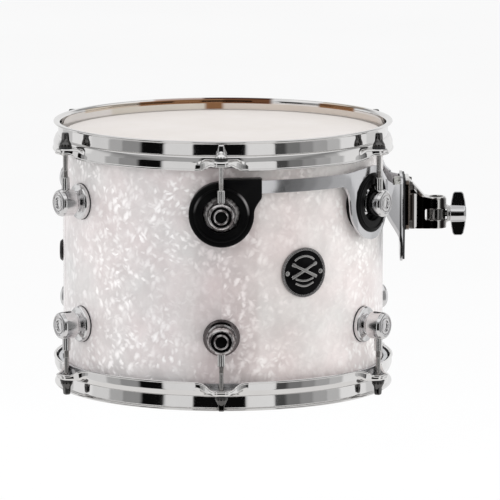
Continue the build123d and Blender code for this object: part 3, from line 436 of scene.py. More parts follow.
def film(name):
    m, n, b, pos = material(name)
    haze = n.noise(pos, 30.0, 3.0, 0.5)
    b.inputs["Base Color"].default_value = (0.86, 0.86, 0.84, 1)
    n.put(b.inputs["Alpha"], n.range(haze, 0.35, 0.65, 0.24, 0.32))
    n.put(b.inputs["Roughness"], n.range(haze, 0.35, 0.65, 0.10, 0.22))
    return m


def wood(name):
    m, n, b, pos = material(name)
    xyz = n.add("ShaderNodeSeparateXYZ")
    n.put(xyz.inputs[0], pos)
    ang = n.math("ARCTAN2", xyz.outputs[1], xyz.outputs[0])
    r = n.math("SQRT", n.math("ADD", n.math("MULTIPLY", xyz.outputs[0], xyz.outputs[0]), n.math("MULTIPLY", xyz.outputs[1], xyz.outputs[1])))
    flat = n.add("ShaderNodeCombineXYZ")
    n.put(flat.inputs[0], n.math("MULTIPLY", ang, 0.15))
    n.put(flat.inputs[1], xyz.outputs[2])
    n.put(flat.inputs[2], r)
    grain = n.noise(n.mapping(flat.outputs[0], (14, 260, 900)), 1.0, 5.0, 0.62, 0.4)
    fig = n.noise(n.mapping(flat.outputs[0], (6, 22, 1)), 1.0, 3.0, 0.5)
    ply = n.math("SINE", n.math("MULTIPLY", r, 2 * math.pi / 0.0012))
    face = n.mix(n.range(grain, 0.3, 0.72, 0.0, 1.0), (0.50, 0.31, 0.155), (0.70, 0.49, 0.275))
    face = n.mix(n.range(fig, 0.35, 0.7, 0.0, 0.5), face, (0.76, 0.56, 0.34))
    edge = n.mix(n.range(ply, -0.2, 0.2, 0.0, 1.0), (0.45, 0.27, 0.13), (0.72, 0.52, 0.31))
    inner = n.range(r, 0.1455, 0.1457, 0.0, 1.0)
    n.put(b.inputs["Base Color"], n.mix(inner, face, edge))
    n.put(b.inputs["Roughness"], n.range(grain, 0.3, 0.7, 0.34, 0.5))
    n.put(b.inputs["Normal"], n.bump(grain, 0.25, 0.0001))
    b.inputs["Coat Weight"].default_value = 0.25
    return m


def plastic(name, base, rough, bump=0.15, spec=0.5):
    m, n, b, pos = material(name)
    fine = n.noise(pos, 1100.0, 2.0, 0.5)
    blot = n.noise(pos, 70.0, 3.0, 0.5)
    n.put(b.inputs["Base Color"], n.mix(n.range(blot, 0.35, 0.7, 0.0, 1.0), base, [min(1.0, c * 1.35 + 0.004) for c in base]))
    n.put(b.inputs["Roughness"], n.range(blot, 0.35, 0.7, rough * 0.85, rough * 1.2))
    n.put(b.inputs["Normal"], n.bump(fine, bump, 0.00004))
    b.inputs["Specular IOR Level"].default_value = spec
    return m


def parts_of(n, pos):
    xyz = n.add("ShaderNodeSeparateXYZ")
    n.put(xyz.inputs[0], pos)
    return xyz.outputs


def paint_reflection_by(m, n, b, fac, shade):
    """Paint a reflection into a metal's colour: multiply it by a shade where fac is 1."""
    old = b.inputs["Base Color"].links[0].from_socket
    n.put(b.inputs["Base Color"], n.mix(fac, old, n.mix(1.0, old, shade, "MULTIPLY")))


def hoop_chrome():
    """Bright plating; painted reflections: brown, tan and dark bands painted on the inner wall of the far side of the
    batter hoop, for the warm tone of what stands behind it.
    """
    m, n, b, pos = chrome_parts("hoop_chrome_plate", (0.80, 0.79, 0.783), 0.04)
    x, y, z = parts_of(n, pos)
    turn = n.range(n.math("ARCTAN2", x, y), -math.pi / 2, math.pi / 2, 0.0, 1.0)

    def row(stops):
        out = []
        for i, (a, c) in enumerate(stops):
            at = (a + 90.0) / 180.0
            if i:
                out.append((at - 0.004, stops[i - 1][1]))
            out.append((at + (0.004 if i else 0.0), c))
        return n.ramp(turn, out)

    pale, tan, brown, dark = (1, 1, 1), (0.80, 0.72, 0.62), (0.36, 0.19, 0.095), (0.10, 0.035, 0.02)
    top = row([(-90, pale), (-26, (0.75, 0.60, 0.55)), (-7.6, dark), (17.2, pale), (38, tan), (60, pale)])
    middle = row([(-90, pale), (-60, tan), (-32.5, brown), (-7.6, (0.40, 0.22, 0.12)), (-0.5, (0.22, 0.10, 0.05)), (17.2, pale), (36.5, brown), (54.5, pale)])
    low = row([(-90, pale), (-45, (0.92, 0.90, 0.83)), (-7.0, brown), (-0.6, (0.92, 0.86, 0.80)), (42, (0.9, 0.84, 0.78))])
    # painted reflection mask: the inner wall of the far side of the batter hoop, facing the camera
    back = n.math("MULTIPLY", n.range(y, 0.02, 0.05, 0.0, 1.0), n.range(z, 0.0002, 0.0006, 0.0, 1.0))
    r = n.math("SQRT", n.math("ADD", n.math("MULTIPLY", x, x), n.math("MULTIPLY", y, y)))
    painted_reflection_mask = n.math("MULTIPLY", back, n.range(r, 0.1596, 0.1600, 1.0, 0.0))
    away = parts_of(n, n.add("ShaderNodeNewGeometry").outputs["Normal"])[1]
    painted_reflection_mask = n.math("MULTIPLY", painted_reflection_mask, n.range(away, 0.15, 0.45, 1.0, 0.0))
    shade = n.mix(n.range(z, 0.0058, 0.0062, 0.0, 1.0), low, middle)
    shade = n.mix(n.range(z, 0.0097, 0.0100, 0.0, 1.0), shade, top)
    paint_reflection_by(m, n, b, painted_reflection_mask, shade)
    return m


def bracket_chrome():
    """Plating on the clamp casting, with painted reflections: upright bands of black, brown, grey and white painted
    across its sides by x.
    """
    m, n, b, pos = chrome_parts("bracket_plate", (0.74, 0.73, 0.72), 0.09)
    x, y, z = parts_of(n, pos)
    geo = n.add("ShaderNodeNewGeometry")
    side = parts_of(n, geo.outputs["Normal"])[1]
    side = n.range(n.math("ABSOLUTE", side), 0.45, 0.7, 0.0, 1.0)
    lo, hi = 0.172, 0.214

    def at(v):
        return (v * MM - lo) / (hi - lo)

    painted_brown_reflection, black = (0.20, 0.165, 0.14), (0.035, 0.03, 0.03)
    # painted reflection bands, by x in mm
    shade = n.ramp(n.range(x, lo, hi, 0.0, 1.0), [
        (0.0, black), (at(175.0), painted_brown_reflection), (at(180.6), black), (at(181.4), (1, 1, 1)), (at(183.0), (1, 1, 1)), (at(183.8), black),
        (at(188.0), painted_brown_reflection), (at(189.0), (0.45, 0.43, 0.41)), (at(190.5), black), (at(195.6), black), (at(196.6), (0.55, 0.53, 0.50)),
        (at(198.4), (0.55, 0.53, 0.50)), (at(199.4), black), (at(202.2), (0.10, 0.09, 0.09)), (at(203.0), (0.85, 0.85, 0.83)),
        (at(205.6), (0.85, 0.85, 0.83)), (at(206.6), black), (at(209.6), black), (at(210.6), (0.5, 0.5, 0.5)), (1.0, (0.9, 0.9, 0.9))])
    paint_reflection_by(m, n, b, side, shade)
    return m


def plate_chrome():
    """Plating on the mount plate; its cut edges at the flat centre are painted near black, a painted dark reflection
    that stands in for the black sheet behind the clamp.
    """
    m, n, b, pos = chrome_parts("mount_plate_chrome", (0.66, 0.66, 0.675), 0.09, 0.05)
    x = parts_of(n, pos)[0]
    geo = n.add("ShaderNodeNewGeometry")
    ny = n.math("ABSOLUTE", parts_of(n, geo.outputs["Normal"])[1])
    # painted dark reflection on the cut edges
    edge = n.math("MULTIPLY", n.range(x, 0.1664, 0.1670, 0.0, 1.0), n.range(ny, 0.55, 0.75, 0.0, 1.0))
    paint_reflection_by(m, n, b, edge, (0.03, 0.03, 0.03))
    return m


def lug_front():
    """The two lugs that face the front: a darker copy of the plating with dark blots painted in, painted reflections of
    the darker things in the room.
    """
    m, n, b, pos = chrome_parts("lug_chrome_painted_reflections", (0.66, 0.64, 0.64), 0.22)
    x, y, z = parts_of(n, pos)
    blot = n.noise(n.mapping(pos, (1, 1, 1), loc=(0.013, 0.0, 0.021)), 190.0, 3.0, 0.6)
    paint_reflection_by(m, n, b, n.range(blot, 0.46, 0.58, 0.0, 1.0), (0.30, 0.275, 0.275))
    return m


def lug_foot():
    """Cast foot of the lug in the front pad's recess, with painted light and painted reflections: mid grey against the
    shade of the recess, mottled with dark blots.
    """
    m, n, b, pos = material("lug_foot_painted_light")
    blot = n.noise(pos, 300.0, 3.0, 0.6)
    n.put(b.inputs["Base Color"], n.mix(n.range(blot, 0.44, 0.58, 0.0, 1.0), (0.50, 0.48, 0.47), (0.11, 0.10, 0.10)))
    b.inputs["Metallic"].default_value = 0.3
    b.inputs["Roughness"].default_value = 0.34
    return m


def pad_rubber():
    """Soft black rubber; a painted highlight: a pale crescent painted on the upper right of the front pad's raised
    ring, with a fainter one on its left.
    """
    m, n, b, pos = rubber_parts("pad_rubber_black", 0.0018, 0.34, spec=0.10)
    x, y, z = parts_of(n, pos)
    up = n.math("SUBTRACT", z, LUG_Z)
    r = n.math("SQRT", n.math("ADD", n.math("MULTIPLY", x, x), n.math("MULTIPLY", up, up)))
    # painted highlight mask: crescents on the raised ring, on the front pad only
    ring = n.math("MULTIPLY", n.range(r, 0.0236, 0.0248, 0.0, 1.0), n.range(r, 0.0256, 0.0264, 1.0, 0.0))
    ang = n.math("ARCTAN2", up, x)
    right = n.math("MULTIPLY", n.range(ang, -0.05, 0.42, 0.0, 1.0), n.range(ang, 0.55, 0.95, 1.0, 0.0))
    left = n.math("MULTIPLY", n.range(ang, 2.35, 2.65, 0.0, 0.3), n.range(ang, 2.8, 3.1, 1.0, 0.0))
    lit = n.math("MULTIPLY", n.math("MULTIPLY", ring, n.math("ADD", right, left)), n.range(y, -0.12, -0.10, 1.0, 0.0))
    old = b.inputs["Base Color"].links[0].from_socket
    n.put(b.inputs["Base Color"], n.mix(lit, old, (0.27, 0.26, 0.26)))
    return m


MAT = {
    "pearl": pearl("pearl_wrap_gloss"),
    "coated": coated("coated_head"),
    "film": film("hazy_head"),
    "wood": wood("maple_ply"),
    "hoop": hoop_chrome(),
    "lug": chrome("lug_chrome_plate", (0.76, 0.755, 0.76), rough=0.09),
    # painted reflections and light for the lugs facing front and back: lug_front a darker mottled plating, lug_edge
    # near black, lug_black a black filling, lug_foot a lighter grey
    "lug_front": lug_front(),
    "lug_edge": chrome("lug_chrome_painted_dark_rim", (0.13, 0.115, 0.115), rough=0.12),
    "lug_black": plastic("lug_painted_black_hollow", (0.0012, 0.0012, 0.0012), 0.35, 0.05, spec=0.03),
    # rod plating with painted light and shade: rod and rod_head are darker copies, painted dark reflections; the _lit
    # copies are lighter, painted light for the front batter rod
    "rod": chrome("rod_plate", (0.46, 0.45, 0.44), 0.13),
    "rod_head": chrome("rod_head_plate", (0.13, 0.127, 0.125), 0.09),
    "rod_lit": chrome("rod_plate_lit", (0.76, 0.75, 0.74), 0.13),
    "rod_head_lit": chrome("rod_head_plate_lit", (0.85, 0.845, 0.84), 0.10),
    "lug_foot": lug_foot(),
    "eye": satin_metal("eyebolt_steel", (0.22, 0.215, 0.21), 0.14),
    "dark_steel": satin_metal("dark_steel", (0.10, 0.095, 0.09), 0.22),
    "plate": plate_chrome(),
    "bracket": bracket_chrome(),
    "nut": chrome("wing_nut_plate", (0.76, 0.76, 0.77), 0.06),
    "steel": satin_metal("plated_steel", (0.68, 0.675, 0.67), 0.16),
    "zinc": satin_metal("zinc_steel", (0.62, 0.62, 0.59), 0.30),
    "alu": satin_metal("spun_aluminium", (0.74, 0.75, 0.77), 0.26, (60, 60, 2600)),
    "rubber": pad_rubber(),
    "gasket": rubber("gasket_rubber_black", 0.02, 0.55),
    "nylon": plastic("black_nylon", (0.02, 0.02, 0.021), 0.38),
    "vent": plastic("black_vent", (0.006, 0.006, 0.006), 0.25, spec=0.3),
    "enamel": plastic("badge_black_enamel", (0.0018, 0.0018, 0.002), 0.30, 0.05, spec=0.05),
    "badge_metal": satin_metal("badge_nickel", (0.66, 0.65, 0.64), 0.22),
    "badge_rim": satin_metal("badge_rim_nickel", (0.36, 0.35, 0.35), 0.26),
}

# ------------------------------------------------------------------ CAD nodes that keep their shape
KEPT = {
    "shell_ply": "wood", "batter_flesh_hoop": "alu", "resonant_flesh_hoop": "alu",
    "receiver_nuts_batter": "steel", "receiver_nuts_resonant": "steel",
    "lug_gaskets": "gasket", "lug_screws": "zinc", "lug_screw_washers": "zinc",
    "bracket_gasket": "gasket", "bracket_bolts": "dark_steel", "bracket_washers": "zinc",
    "bracket_nuts": "zinc", "wing_nut_washer": "steel",
    "resonant_film": "film", "batter_film": "coated",
}
for node, key in KEPT.items():
    for slot in NODES[node].material_slots:
        slot.link = "OBJECT"
        slot.material = MAT[key]

# ------------------------------------------------------------------ triple-flanged hoops
EAR_D = [0.0, 0.9, 1.5, 2.1, 2.7, 3.3, 4.0, 4.8, 5.7, 6.8, 8.0, 9.3, 10.6]
EAR_E = [16.9, 16.9, 16.7, 15.6, 13.6, 11.2, 8.6, 6.2, 4.1, 2.3, 1.0, 0.25, 0.0]


def ear_extent(delta):
    """How far the seat flange stands out past the plain hoop, in mm, at an angle from the ear's centre."""
    x = abs(delta)
    if x >= EAR_D[-1]:
        return 0.0
    i = max(k for k in range(len(EAR_D)) if EAR_D[k] <= x)
    h = EAR_D[i + 1] - EAR_D[i]
    t = (x - EAR_D[i]) / h

    def slope(k):
        if k == 0 or k == len(EAR_D) - 1:
            return 0.0
        a = (EAR_E[k] - EAR_E[k - 1]) / (EAR_D[k] - EAR_D[k - 1])
        b = (EAR_E[k + 1] - EAR_E[k]) / (EAR_D[k + 1] - EAR_D[k])
        return 0.0 if a * b <= 0 else 2 * a * b / (a + b)

    return (EAR_E[i] * (2 * t**3 - 3 * t**2 + 1) + slope(i) * h * (t**3 - 2 * t**2 + t)
            + EAR_E[i + 1] * (-2 * t**3 + 3 * t**2) + slope(i + 1) * h * (t**3 - t**2))


def hoop_section(e):
    """Closed section of the pressed strip in mm, e being how far the ear stands out here."""
    w = float(smoothstep(e / 12.0))
    near = float(smoothstep(e / 6.0))
    flare = 0.8
    foot = -15.08 * (1 - w) + -9.6 * w
    seat = -3.35
    shelf = -6.35
    path = [
        (159.3, HOOP_TOP / MM - 1.12, 0), (155.0, HOOP_TOP / MM - 1.12, 2.2), (154.85, seat, 1.7), (157.4 + 0.75 * near, seat, 1.5),
        (159.35 - 1.15 * near, -8.3 * (1 - near) + shelf * near, 1.7), (159.45 - 1.1 * near + e, -11.9 * (1 - near) + shelf * near, 1.7),
        (159.5 - 1.1 * w + e, foot, 1.0), (159.5 - 1.1 * w + e + flare, foot - 0.15 * (1 - w), 0),
    ]
    line = []
    n = len(path)
    # straight runs get a few points, bends get an arc
    arcs = []
    for i in range(n):
        p = np.array(path[i][:2])
        if i in (0, n - 1):
            arcs.append([p])
            continue
        a, b = np.array(path[i - 1][:2]), np.array(path[i + 1][:2])
        u, v = a - p, b - p
        lu, lv = np.linalg.norm(u), np.linalg.norm(v)
        u, v = u / lu, v / lv
        ang = math.acos(max(-1.0, min(1.0, float(u @ v))))
        cut = min(path[i][2] / math.tan(ang / 2), 0.48 * lu, 0.48 * lv)
        rad = cut * math.tan(ang / 2)
        c = p + (u + v) / np.linalg.norm(u + v) * (rad / math.sin(ang / 2))
        s, t = p + u * cut - c, p + v * cut - c
        a0, a1 = math.atan2(s[1], s[0]), math.atan2(t[1], t[0])
        d = (a1 - a0 + math.pi) % (2 * math.pi) - math.pi
        arcs.append([c + rad * np.array((math.cos(a0 + d * k / 6), math.sin(a0 + d * k / 6))) for k in range(7)])
    runs = [2, 5, 3, 2, 4, 3, 2]
    for i in range(n):
        line += arcs[i]
        if i < n - 1:
            a, b = arcs[i][-1], arcs[i + 1][0]
            for k in range(1, runs[i]):
                line.append(a + (b - a) * k / runs[i])
    line = np.array(line)
    tang = np.gradient(line, axis=0)
    tang /= np.linalg.norm(tang, axis=1)[:, None]
    norm = np.stack([-tang[:, 1], tang[:, 0]], axis=1)
    half = 1.12
    left, right = line + norm * half, line - norm * half
    cap_end = [line[-1] + half * (norm[-1] * math.cos(t) + tang[-1] * math.sin(t)) for t in np.linspace(0, math.pi, 6)[1:-1]]
    cap_start = [line[0] + half * (-norm[0] * math.cos(t) - tang[0] * math.sin(t)) for t in np.linspace(0, math.pi, 6)[1:-1]]
    return np.array(list(left) + cap_end + list(right[::-1]) + cap_start)


def hoop_mesh(name, flip):
    offsets = []
    x = 0.0
    while x < 30.0:
        offsets.append(x)
        x += 0.28 if x < 8.0 else (0.5 if x < 11.5 else 1.1)
    offsets[-1] = 30.0
    half = offsets + [60.0 - o for o in reversed(offsets[1:-1])]
    thetas = [60 * i + o for i in range(6) for o in half]
    rings = []
    for th in thetas:
        delta = (th + 30.0) % 60.0 - 30.0
        sec = hoop_section(ear_extent(delta))
        a = math.radians(th)
        rings.append(np.stack([sec[:, 0] * math.sin(a), -sec[:, 0] * math.cos(a), sec[:, 1]], axis=1) * MM)
    cols = len(rings[0])
    verts = np.concatenate(rings)
    faces = grid_faces(len(rings), cols, close_rows=True, close_cols=True)
    if flip:
        verts[:, 2] = 2 * MID_Z - verts[:, 2]
        faces = [f[::-1] for f in faces]
    obj = new_mesh(name, verts, faces, 50)
    hole_v, hole_f = lathe([(0, -0.012), (0.0033, -0.012), (0.0033, 0.002), (0, 0.002)], 40)
    parts = []
    for i in range(6):
        m = Matrix.Rotation(math.radians(60 * i), 4, "Z") @ Matrix.Translation((0, -ROD_R, 0))
        parts.append((hole_v, hole_f, (MIRROR @ m) if flip else m))
    cutter = new_mesh(name + "_cut", *join(parts))
    return boolean(obj, cutter, sharp=40)


batter_hoop = place(hoop_mesh("batter_hoop_pressing", False), "batter_hoop_set", MAT["hoop"], "hoop_chrome", "batter_hoop")
resonant_hoop = place(hoop_mesh("resonant_hoop_pressing", True), "resonant_hoop_set", MAT["hoop"], "hoop_chrome", "resonant_hoop")

# ------------------------------------------------------------------ pearl covering with its lapped seam
def wrap_mesh():
    segs, rows = 360, 40
    inner, outer = 0.15132, WRAP_R
    seam, lap = math.radians(282), math.radians(8.5)
    verts, uvs = [], []
    zs = [WRAP_LO + (WRAP_HI - WRAP_LO) * i / rows for i in range(rows + 1)]

    def lift(a):
        d = (a - seam) % (2 * math.pi)
        return -0.00022 if d < math.radians(360) - lap else 0.0

    angles = []
    for j in range(segs):
        angles.append(2 * math.pi * j / segs)
    # two close angles make the step of the lap crisp
    extra = [(seam - 0.0006) % (2 * math.pi), (seam + 0.0006) % (2 * math.pi), (seam - lap - 0.0006) % (2 * math.pi), (seam - lap + 0.0006) % (2 * math.pi)]
    angles = sorted(set(angles + extra))
    n = len(angles)
    for z in zs:
        for a in angles:
            r = outer + lift(a)
            verts.append((r * math.sin(a), -r * math.cos(a), z))
            uvs.append((a * outer, z))
    for z in (WRAP_HI, WRAP_LO):
        for a in angles:
            verts.append((inner * math.sin(a), -inner * math.cos(a), z))
            uvs.append((a * outer, z))
    faces = grid_faces(rows + 1, n)
    top_out, top_in, low_in = rows * n, (rows + 1) * n, (rows + 2) * n
    for j in range(n):
        k = (j + 1) % n
        faces.append((top_out + j, top_out + k, top_in + k, top_in + j))
        faces.append((top_in + j, top_in + k, low_in + k, low_in + j))
        faces.append((low_in + j, low_in + k, k, j))
    obj = new_mesh("pearl_covering", verts, faces, 40)
    hole_v, hole_f = lathe([(0, 0.140), (0.0024, 0.140), (0.0024, 0.160), (0, 0.160)], 24)
    vent_v, vent_f = lathe([(0, 0.140), (0.006, 0.140), (0.006, 0.160), (0, 0.160)], 32)
    pin_v, pin_f = lathe([(0, 0.140), (0.0008, 0.140), (0.0008, 0.160), (0, 0.160)], 12)
    parts = [(vent_v, vent_f, radial_matrix(270, MID_Z))]
    for sx in (-0.0176, 0.0176):
        parts.append((pin_v, pin_f, radial_matrix(30, MID_Z) @ Matrix.Translation((sx, 0, 0))))
    for z in (LUG_Z, 2 * MID_Z - LUG_Z):
        for a in LUG_ANGLES:
            for dz in (-0.0075, 0.0075):
                parts.append((hole_v, hole_f, radial_matrix(a, z + dz)))
    cutter = new_mesh("wrap_cut", *join(parts))
    boolean(obj, cutter, sharp=40)
    mesh = obj.data
    layer = mesh.uv_layers.new(name="wrap")
    co = np.zeros(len(mesh.vertices) * 3)
    mesh.vertices.foreach_get("co", co)
    co = co.reshape(-1, 3)
    loop_v = np.zeros(len(mesh.loops), np.int32)
    mesh.loops.foreach_get("vertex_index", loop_v)
    ang = np.arctan2(co[:, 0], -co[:, 1]) % (2 * math.pi)
    start, total = np.zeros(len(mesh.polygons), np.int32), np.zeros(len(mesh.polygons), np.int32)
    mesh.polygons.foreach_get("loop_start", start)
    mesh.polygons.foreach_get("loop_total", total)
    u = ang[loop_v].copy()
    for s, t in zip(start, total):
        part = u[s:s + t]
        if part.max() - part.min() > math.pi:
            part[part < math.pi] += 2 * math.pi
    uv = np.stack([u * WRAP_R, co[loop_v, 2]], axis=1).astype(np.float32)
    layer.data.foreach_set("uv", uv.ravel())
    return obj


wrap = place(wrap_mesh(), "drum_body", MAT["pearl"], "pearl_wrap", "shell_wrap")

# ------------------------------------------------------------------ tension rods with cut threads
def rod_mesh():
    """One rod at the front batter lug, in metres: square key, bell-shaped head, plain shank, M5 thread."""
    segs = 48
    verts, faces = [], []
    # round part, top to tip, with the thread worked into the radius
    prof = rounded([
        (2.9, 3.7), (3.1, 3.55, 0.2), (3.7, 2.4, 1.5), (4.5, 0.6, 1.5), (5.3, -0.8, 0.5), (5.7, -1.35, 0.3), (5.7, -2.35, 0.3),
        (5.4, -2.7, 0.15), (2.3, -2.7, 0.15), (2.2, -3.1),
    ], steps=4)
    prof = [(0.0, 3.7)] + prof + [(2.2, -8.0), (2.2, -16.0), (2.2, -25.6)]
    pitch, core, full, start, end = 0.8, 2.04, 2.48, -25.8, -52.2
    rings = []
    for r, h in prof[1:]:
        rings.append([(r * math.cos(2 * math.pi * j / segs), r * math.sin(2 * math.pi * j / segs), h) for j in range(segs)])
    steps = int((start - end) / pitch * 8)
    for i in range(steps + 1):
        h = start + (end - start) * i / steps
        ring = []
        for j in range(segs):
            a = 2 * math.pi * j / segs
            p = ((h / pitch) - j / segs) % 1.0
            tri = 1 - abs(2 * p - 1)
            tri = min(1.0, max(0.0, (tri - 0.08) / 0.8))
            run = min(1.0, (start - h) / 1.2)
            tip = min(1.0, (h - end) / 0.9)
            top = core + (full - core) * tri
            r = (2.2 * (1 - run) + top * run) if run < 1 else top
            r = min(r, 1.75 + (full - 1.75) * tip)
            ring.append((r * math.cos(a), r * math.sin(a), h))
        rings.append(ring)
    for ring in rings:
        verts += ring
    faces = grid_faces(len(rings), segs, flip=True)
    top = len(verts)
    verts.append((0, 0, 3.7))
    bottom = len(verts)
    verts.append((0, 0, end))
    last = (len(rings) - 1) * segs
    for j in range(segs):
        k = (j + 1) % segs
        faces.append((top, j, k))
        faces.append((bottom, last + k, last + j))
    # square key drive with rounded corners, chamfered top and a slight taper
    side, corner, n = 3.0, 0.75, 4
    plan = []
    for cx, cy, a0 in ((1, 1, 0), (-1, 1, 90), (-1, -1, 180), (1, -1, 270)):
        for k in range(n + 1):
            t = math.radians(a0 + 90 * k / n)
            plan.append((cx * (side - corner) + corner * math.cos(t), cy * (side - corner) + corner * math.sin(t)))
    levels = [(1.0, 1.6), (0.96, 4.5), (0.88, 7.9), (0.83, 8.6), (0.75, 9.05), (0.62, 9.28)]
    base = len(verts)
    for s, h in levels:
        verts += [(x * s, y * s, h) for x, y in plan]
    m = len(plan)
    faces += grid_faces(len(levels), m, base=base)
    cap, floor = len(verts), len(verts) + 1
    verts += [(0, 0, 9.28), (0, 0, 1.6)]
    for j in range(m):
        k = (j + 1) % m
        faces.append((cap, base + (len(levels) - 1) * m + j, base + (len(levels) - 1) * m + k))
        faces.append((floor, base + k, base + j))
    return [(x * MM, y * MM, z * MM) for x, y, z in verts], faces


ROD = rod_mesh()
for side in ("batter", "resonant"):
    for i, a in enumerate(LUG_ANGLES):
        m = Matrix.Rotation(math.radians(a), 4, "Z") @ Matrix.Translation((0, -ROD_R, 0))
        if side == "resonant":
            # a real rod is the same right-hand-threaded part turned over, not its mirror image
            flip = Matrix.Translation((0, 0, 2 * MID_Z)) @ Matrix.Rotation(math.radians(180), 4, Vector((math.sin(math.radians(a)), -math.cos(math.radians(a)), 0)))
            m = flip @ m
        v, f = join([(ROD[0], ROD[1], m)])
        rod = new_mesh(f"rod_{side}_{i + 1}", v, f, 30)
        # the front batter rod takes the lighter copies, painted light; every rod's head takes the darker plating, a
        # painted dark reflection
        lit = "_lit" if side == "batter" and a == 0 else ""
        for key in ("rod", "rod_head"):
            rod.data.materials.append(MAT[key + lit])
        for poly in rod.data.polygons:
            poly.material_index = 1 if abs(poly.center.z - MID_Z) > abs(-0.0029 - MID_Z) else 0
        place(rod, f"{side}_rod_{i + 1}", MAT["rod"], "rod_chrome", f"tension_rod_{side}_{i + 1}")

# ------------------------------------------------------------------ turret lugs
def lug_meshes(name, flip):
    seat = 0.1529
    prof = rounded([
        (0, 150.2), (16.8, 150.2), (16.8, 155.3, 0.8), (15.8, 156.7, 0.7), (13.4, 157.2, 2.0), (10.2, 158.6, 1.6), (9.0, 160.0, 0.8),
        (8.8, 161.0, 0.4), (12.5, 161.2, 1.4), (12.8, 163.2, 1.0), (12.8, 173.4, 2.6), (11.8, 176.0, 1.8), (10.3, 177.0, 0.6), (9.75, 176.9, 0.3),
        (9.45, 175.0, 0.35), (7.45, 175.0, 0.35), (7.15, 176.8, 0.4), (6.3, 177.2, 0.5), (5.45, 177.0, 0.4), (5.05, 175.2, 0.3), (0, 175.1),
    ], steps=4)
    prof = [(r * MM, h * MM) for r, h in prof]
    parts = []
    body_v, body_f = lathe(prof, 96)
    drum_v, drum_f = lathe([(0, -0.04), (seat, -0.04), (seat, 0.04), (0, 0.04)], 720)
    bore_v, bore_f = lathe([(0, -0.02), (0.0047, -0.02), (0.0047, 0.009), (0.0041, 0.009), (0.00395, 0.0092), (0.00395, 0.02), (0, 0.02)], 48)
    tap_v, tap_f = lathe([(0, 0.149), (0.00205, 0.149), (0.00205, 0.1573), (0, 0.1573)], 20)
    lugs, cuts = [], []
    for a in LUG_ANGLES:
        base = radial_matrix(a, LUG_Z)
        turn = Matrix.Rotation(math.radians(a), 4, "Z")
        f = MIRROR if flip else Matrix.Identity(4)
        lugs.append((body_v, body_f, f @ base))
        cuts.append((bore_v, bore_f, f @ turn @ Matrix.Translation((0, -ROD_R, LUG_Z))))
        for dz in (-0.0075, 0.0075):
            cuts.append((tap_v, tap_f, f @ base @ Matrix.Translation((0, dz, 0))))
    cuts.append((drum_v, drum_f, Matrix.Translation((0, 0, (2 * MID_Z - LUG_Z) if flip else LUG_Z))))
    obj = new_mesh(name, *join(lugs), 30)
    cutter = new_mesh(name + "_cut", *join(cuts), None)
    boolean(obj, cutter, sharp=34)
    # painted reflections and light on the lugs that face front and back: the groove and the hollow painted black, the
    # resonant lugs' outer feet painted dark, the front batter lug's foot painted light grey, the rest a darker mottled
    # plating
    for key in ("lug", "lug_black", "lug_front", "lug_edge", "lug_foot"):
        obj.data.materials.append(MAT[key])
    zc = (2 * MID_Z - LUG_Z) if flip else LUG_Z
    for poly in obj.data.polygons:
        c = poly.center
        a = math.radians(60 * round(math.degrees(math.atan2(c.x, -c.y)) / 60))
        out = c.x * math.sin(a) - c.y * math.cos(a)
        rho = math.hypot(c.x * math.cos(a) + c.y * math.sin(a), c.z - zc)
        front = abs(math.sin(a)) < 0.1
        if front and rho < 0.0098 and 0.1745 < out < 0.1765:
            poly.material_index = 1
        elif front and flip and rho > 0.0143:
            poly.material_index = 3
        elif front and not flip and c.y < 0 and rho > 0.0139:
            poly.material_index = 4
        elif front:
            poly.material_index = 2
        else:
            poly.material_index = 0
    return obj


for side, flip in (("batter", False), ("resonant", True)):
    place(lug_meshes(f"turret_lugs_{side}", flip), "drum_body", MAT["lug"], "lug_chrome", f"lug_housings_{side}")

# ------------------------------------------------------------------ washers on the ears
def washer_mesh(name, outer, low, high, flip, crown=0.0):
    mid = (low + high) / 2
    prof = rounded([(2.7, low, 0.12), (outer, low, 0.3), (outer, high, 0.3), (2.7, high + crown, 0.12)], steps=3, closed=True)
    v, f = lathe([(r * MM, h * MM) for r, h in prof], 56, closed=True)
    m = MIRROR if flip else Matrix.Identity(4)
    return new_mesh(name, *join([(v, f, m @ Matrix.Rotation(math.radians(a), 4, "Z") @ Matrix.Translation((0, -ROD_R, 0))) for a in LUG_ANGLES]), 30)


for side, flip in (("batter", False), ("resonant", True)):
    place(washer_mesh(f"black_washers_{side}", 6.2, -5.2, -3.7, flip), f"{side}_hoop_set", MAT["nylon"], "nylon", f"nylon_washers_{side}")
    place(washer_mesh(f"plated_washers_{side}", 5.9, -3.7, -2.7, flip), f"{side}_hoop_set", MAT["dark_steel"], "plated_steel", f"steel_washers_{side}")


# ------------------------------------------------------------------ pieces reworked from their CAD shape
def copy_of(node, name):
    src = NODES[node]
    mesh = src.data.copy()
    mesh.materials.clear()
    obj = bpy.data.objects.new(name, mesh)
    bpy.context.scene.collection.objects.link(obj)
    obj.matrix_world = src.matrix_world.copy()
    return obj


def apply_modifiers(obj, sharp=32.0):
    dg = bpy.context.evaluated_depsgraph_get()
    dg.update()
    mesh = bpy.data.meshes.new_from_object(obj.evaluated_get(dg), preserve_all_data_layers=True, depsgraph=dg)
    obj.modifiers.clear()
    obj.data = mesh
    mesh.polygons.foreach_set("use_smooth", [True] * len(mesh.polygons))
    if sharp is not None:
        mesh.set_sharp_from_angle(angle=math.radians(sharp))
    return obj


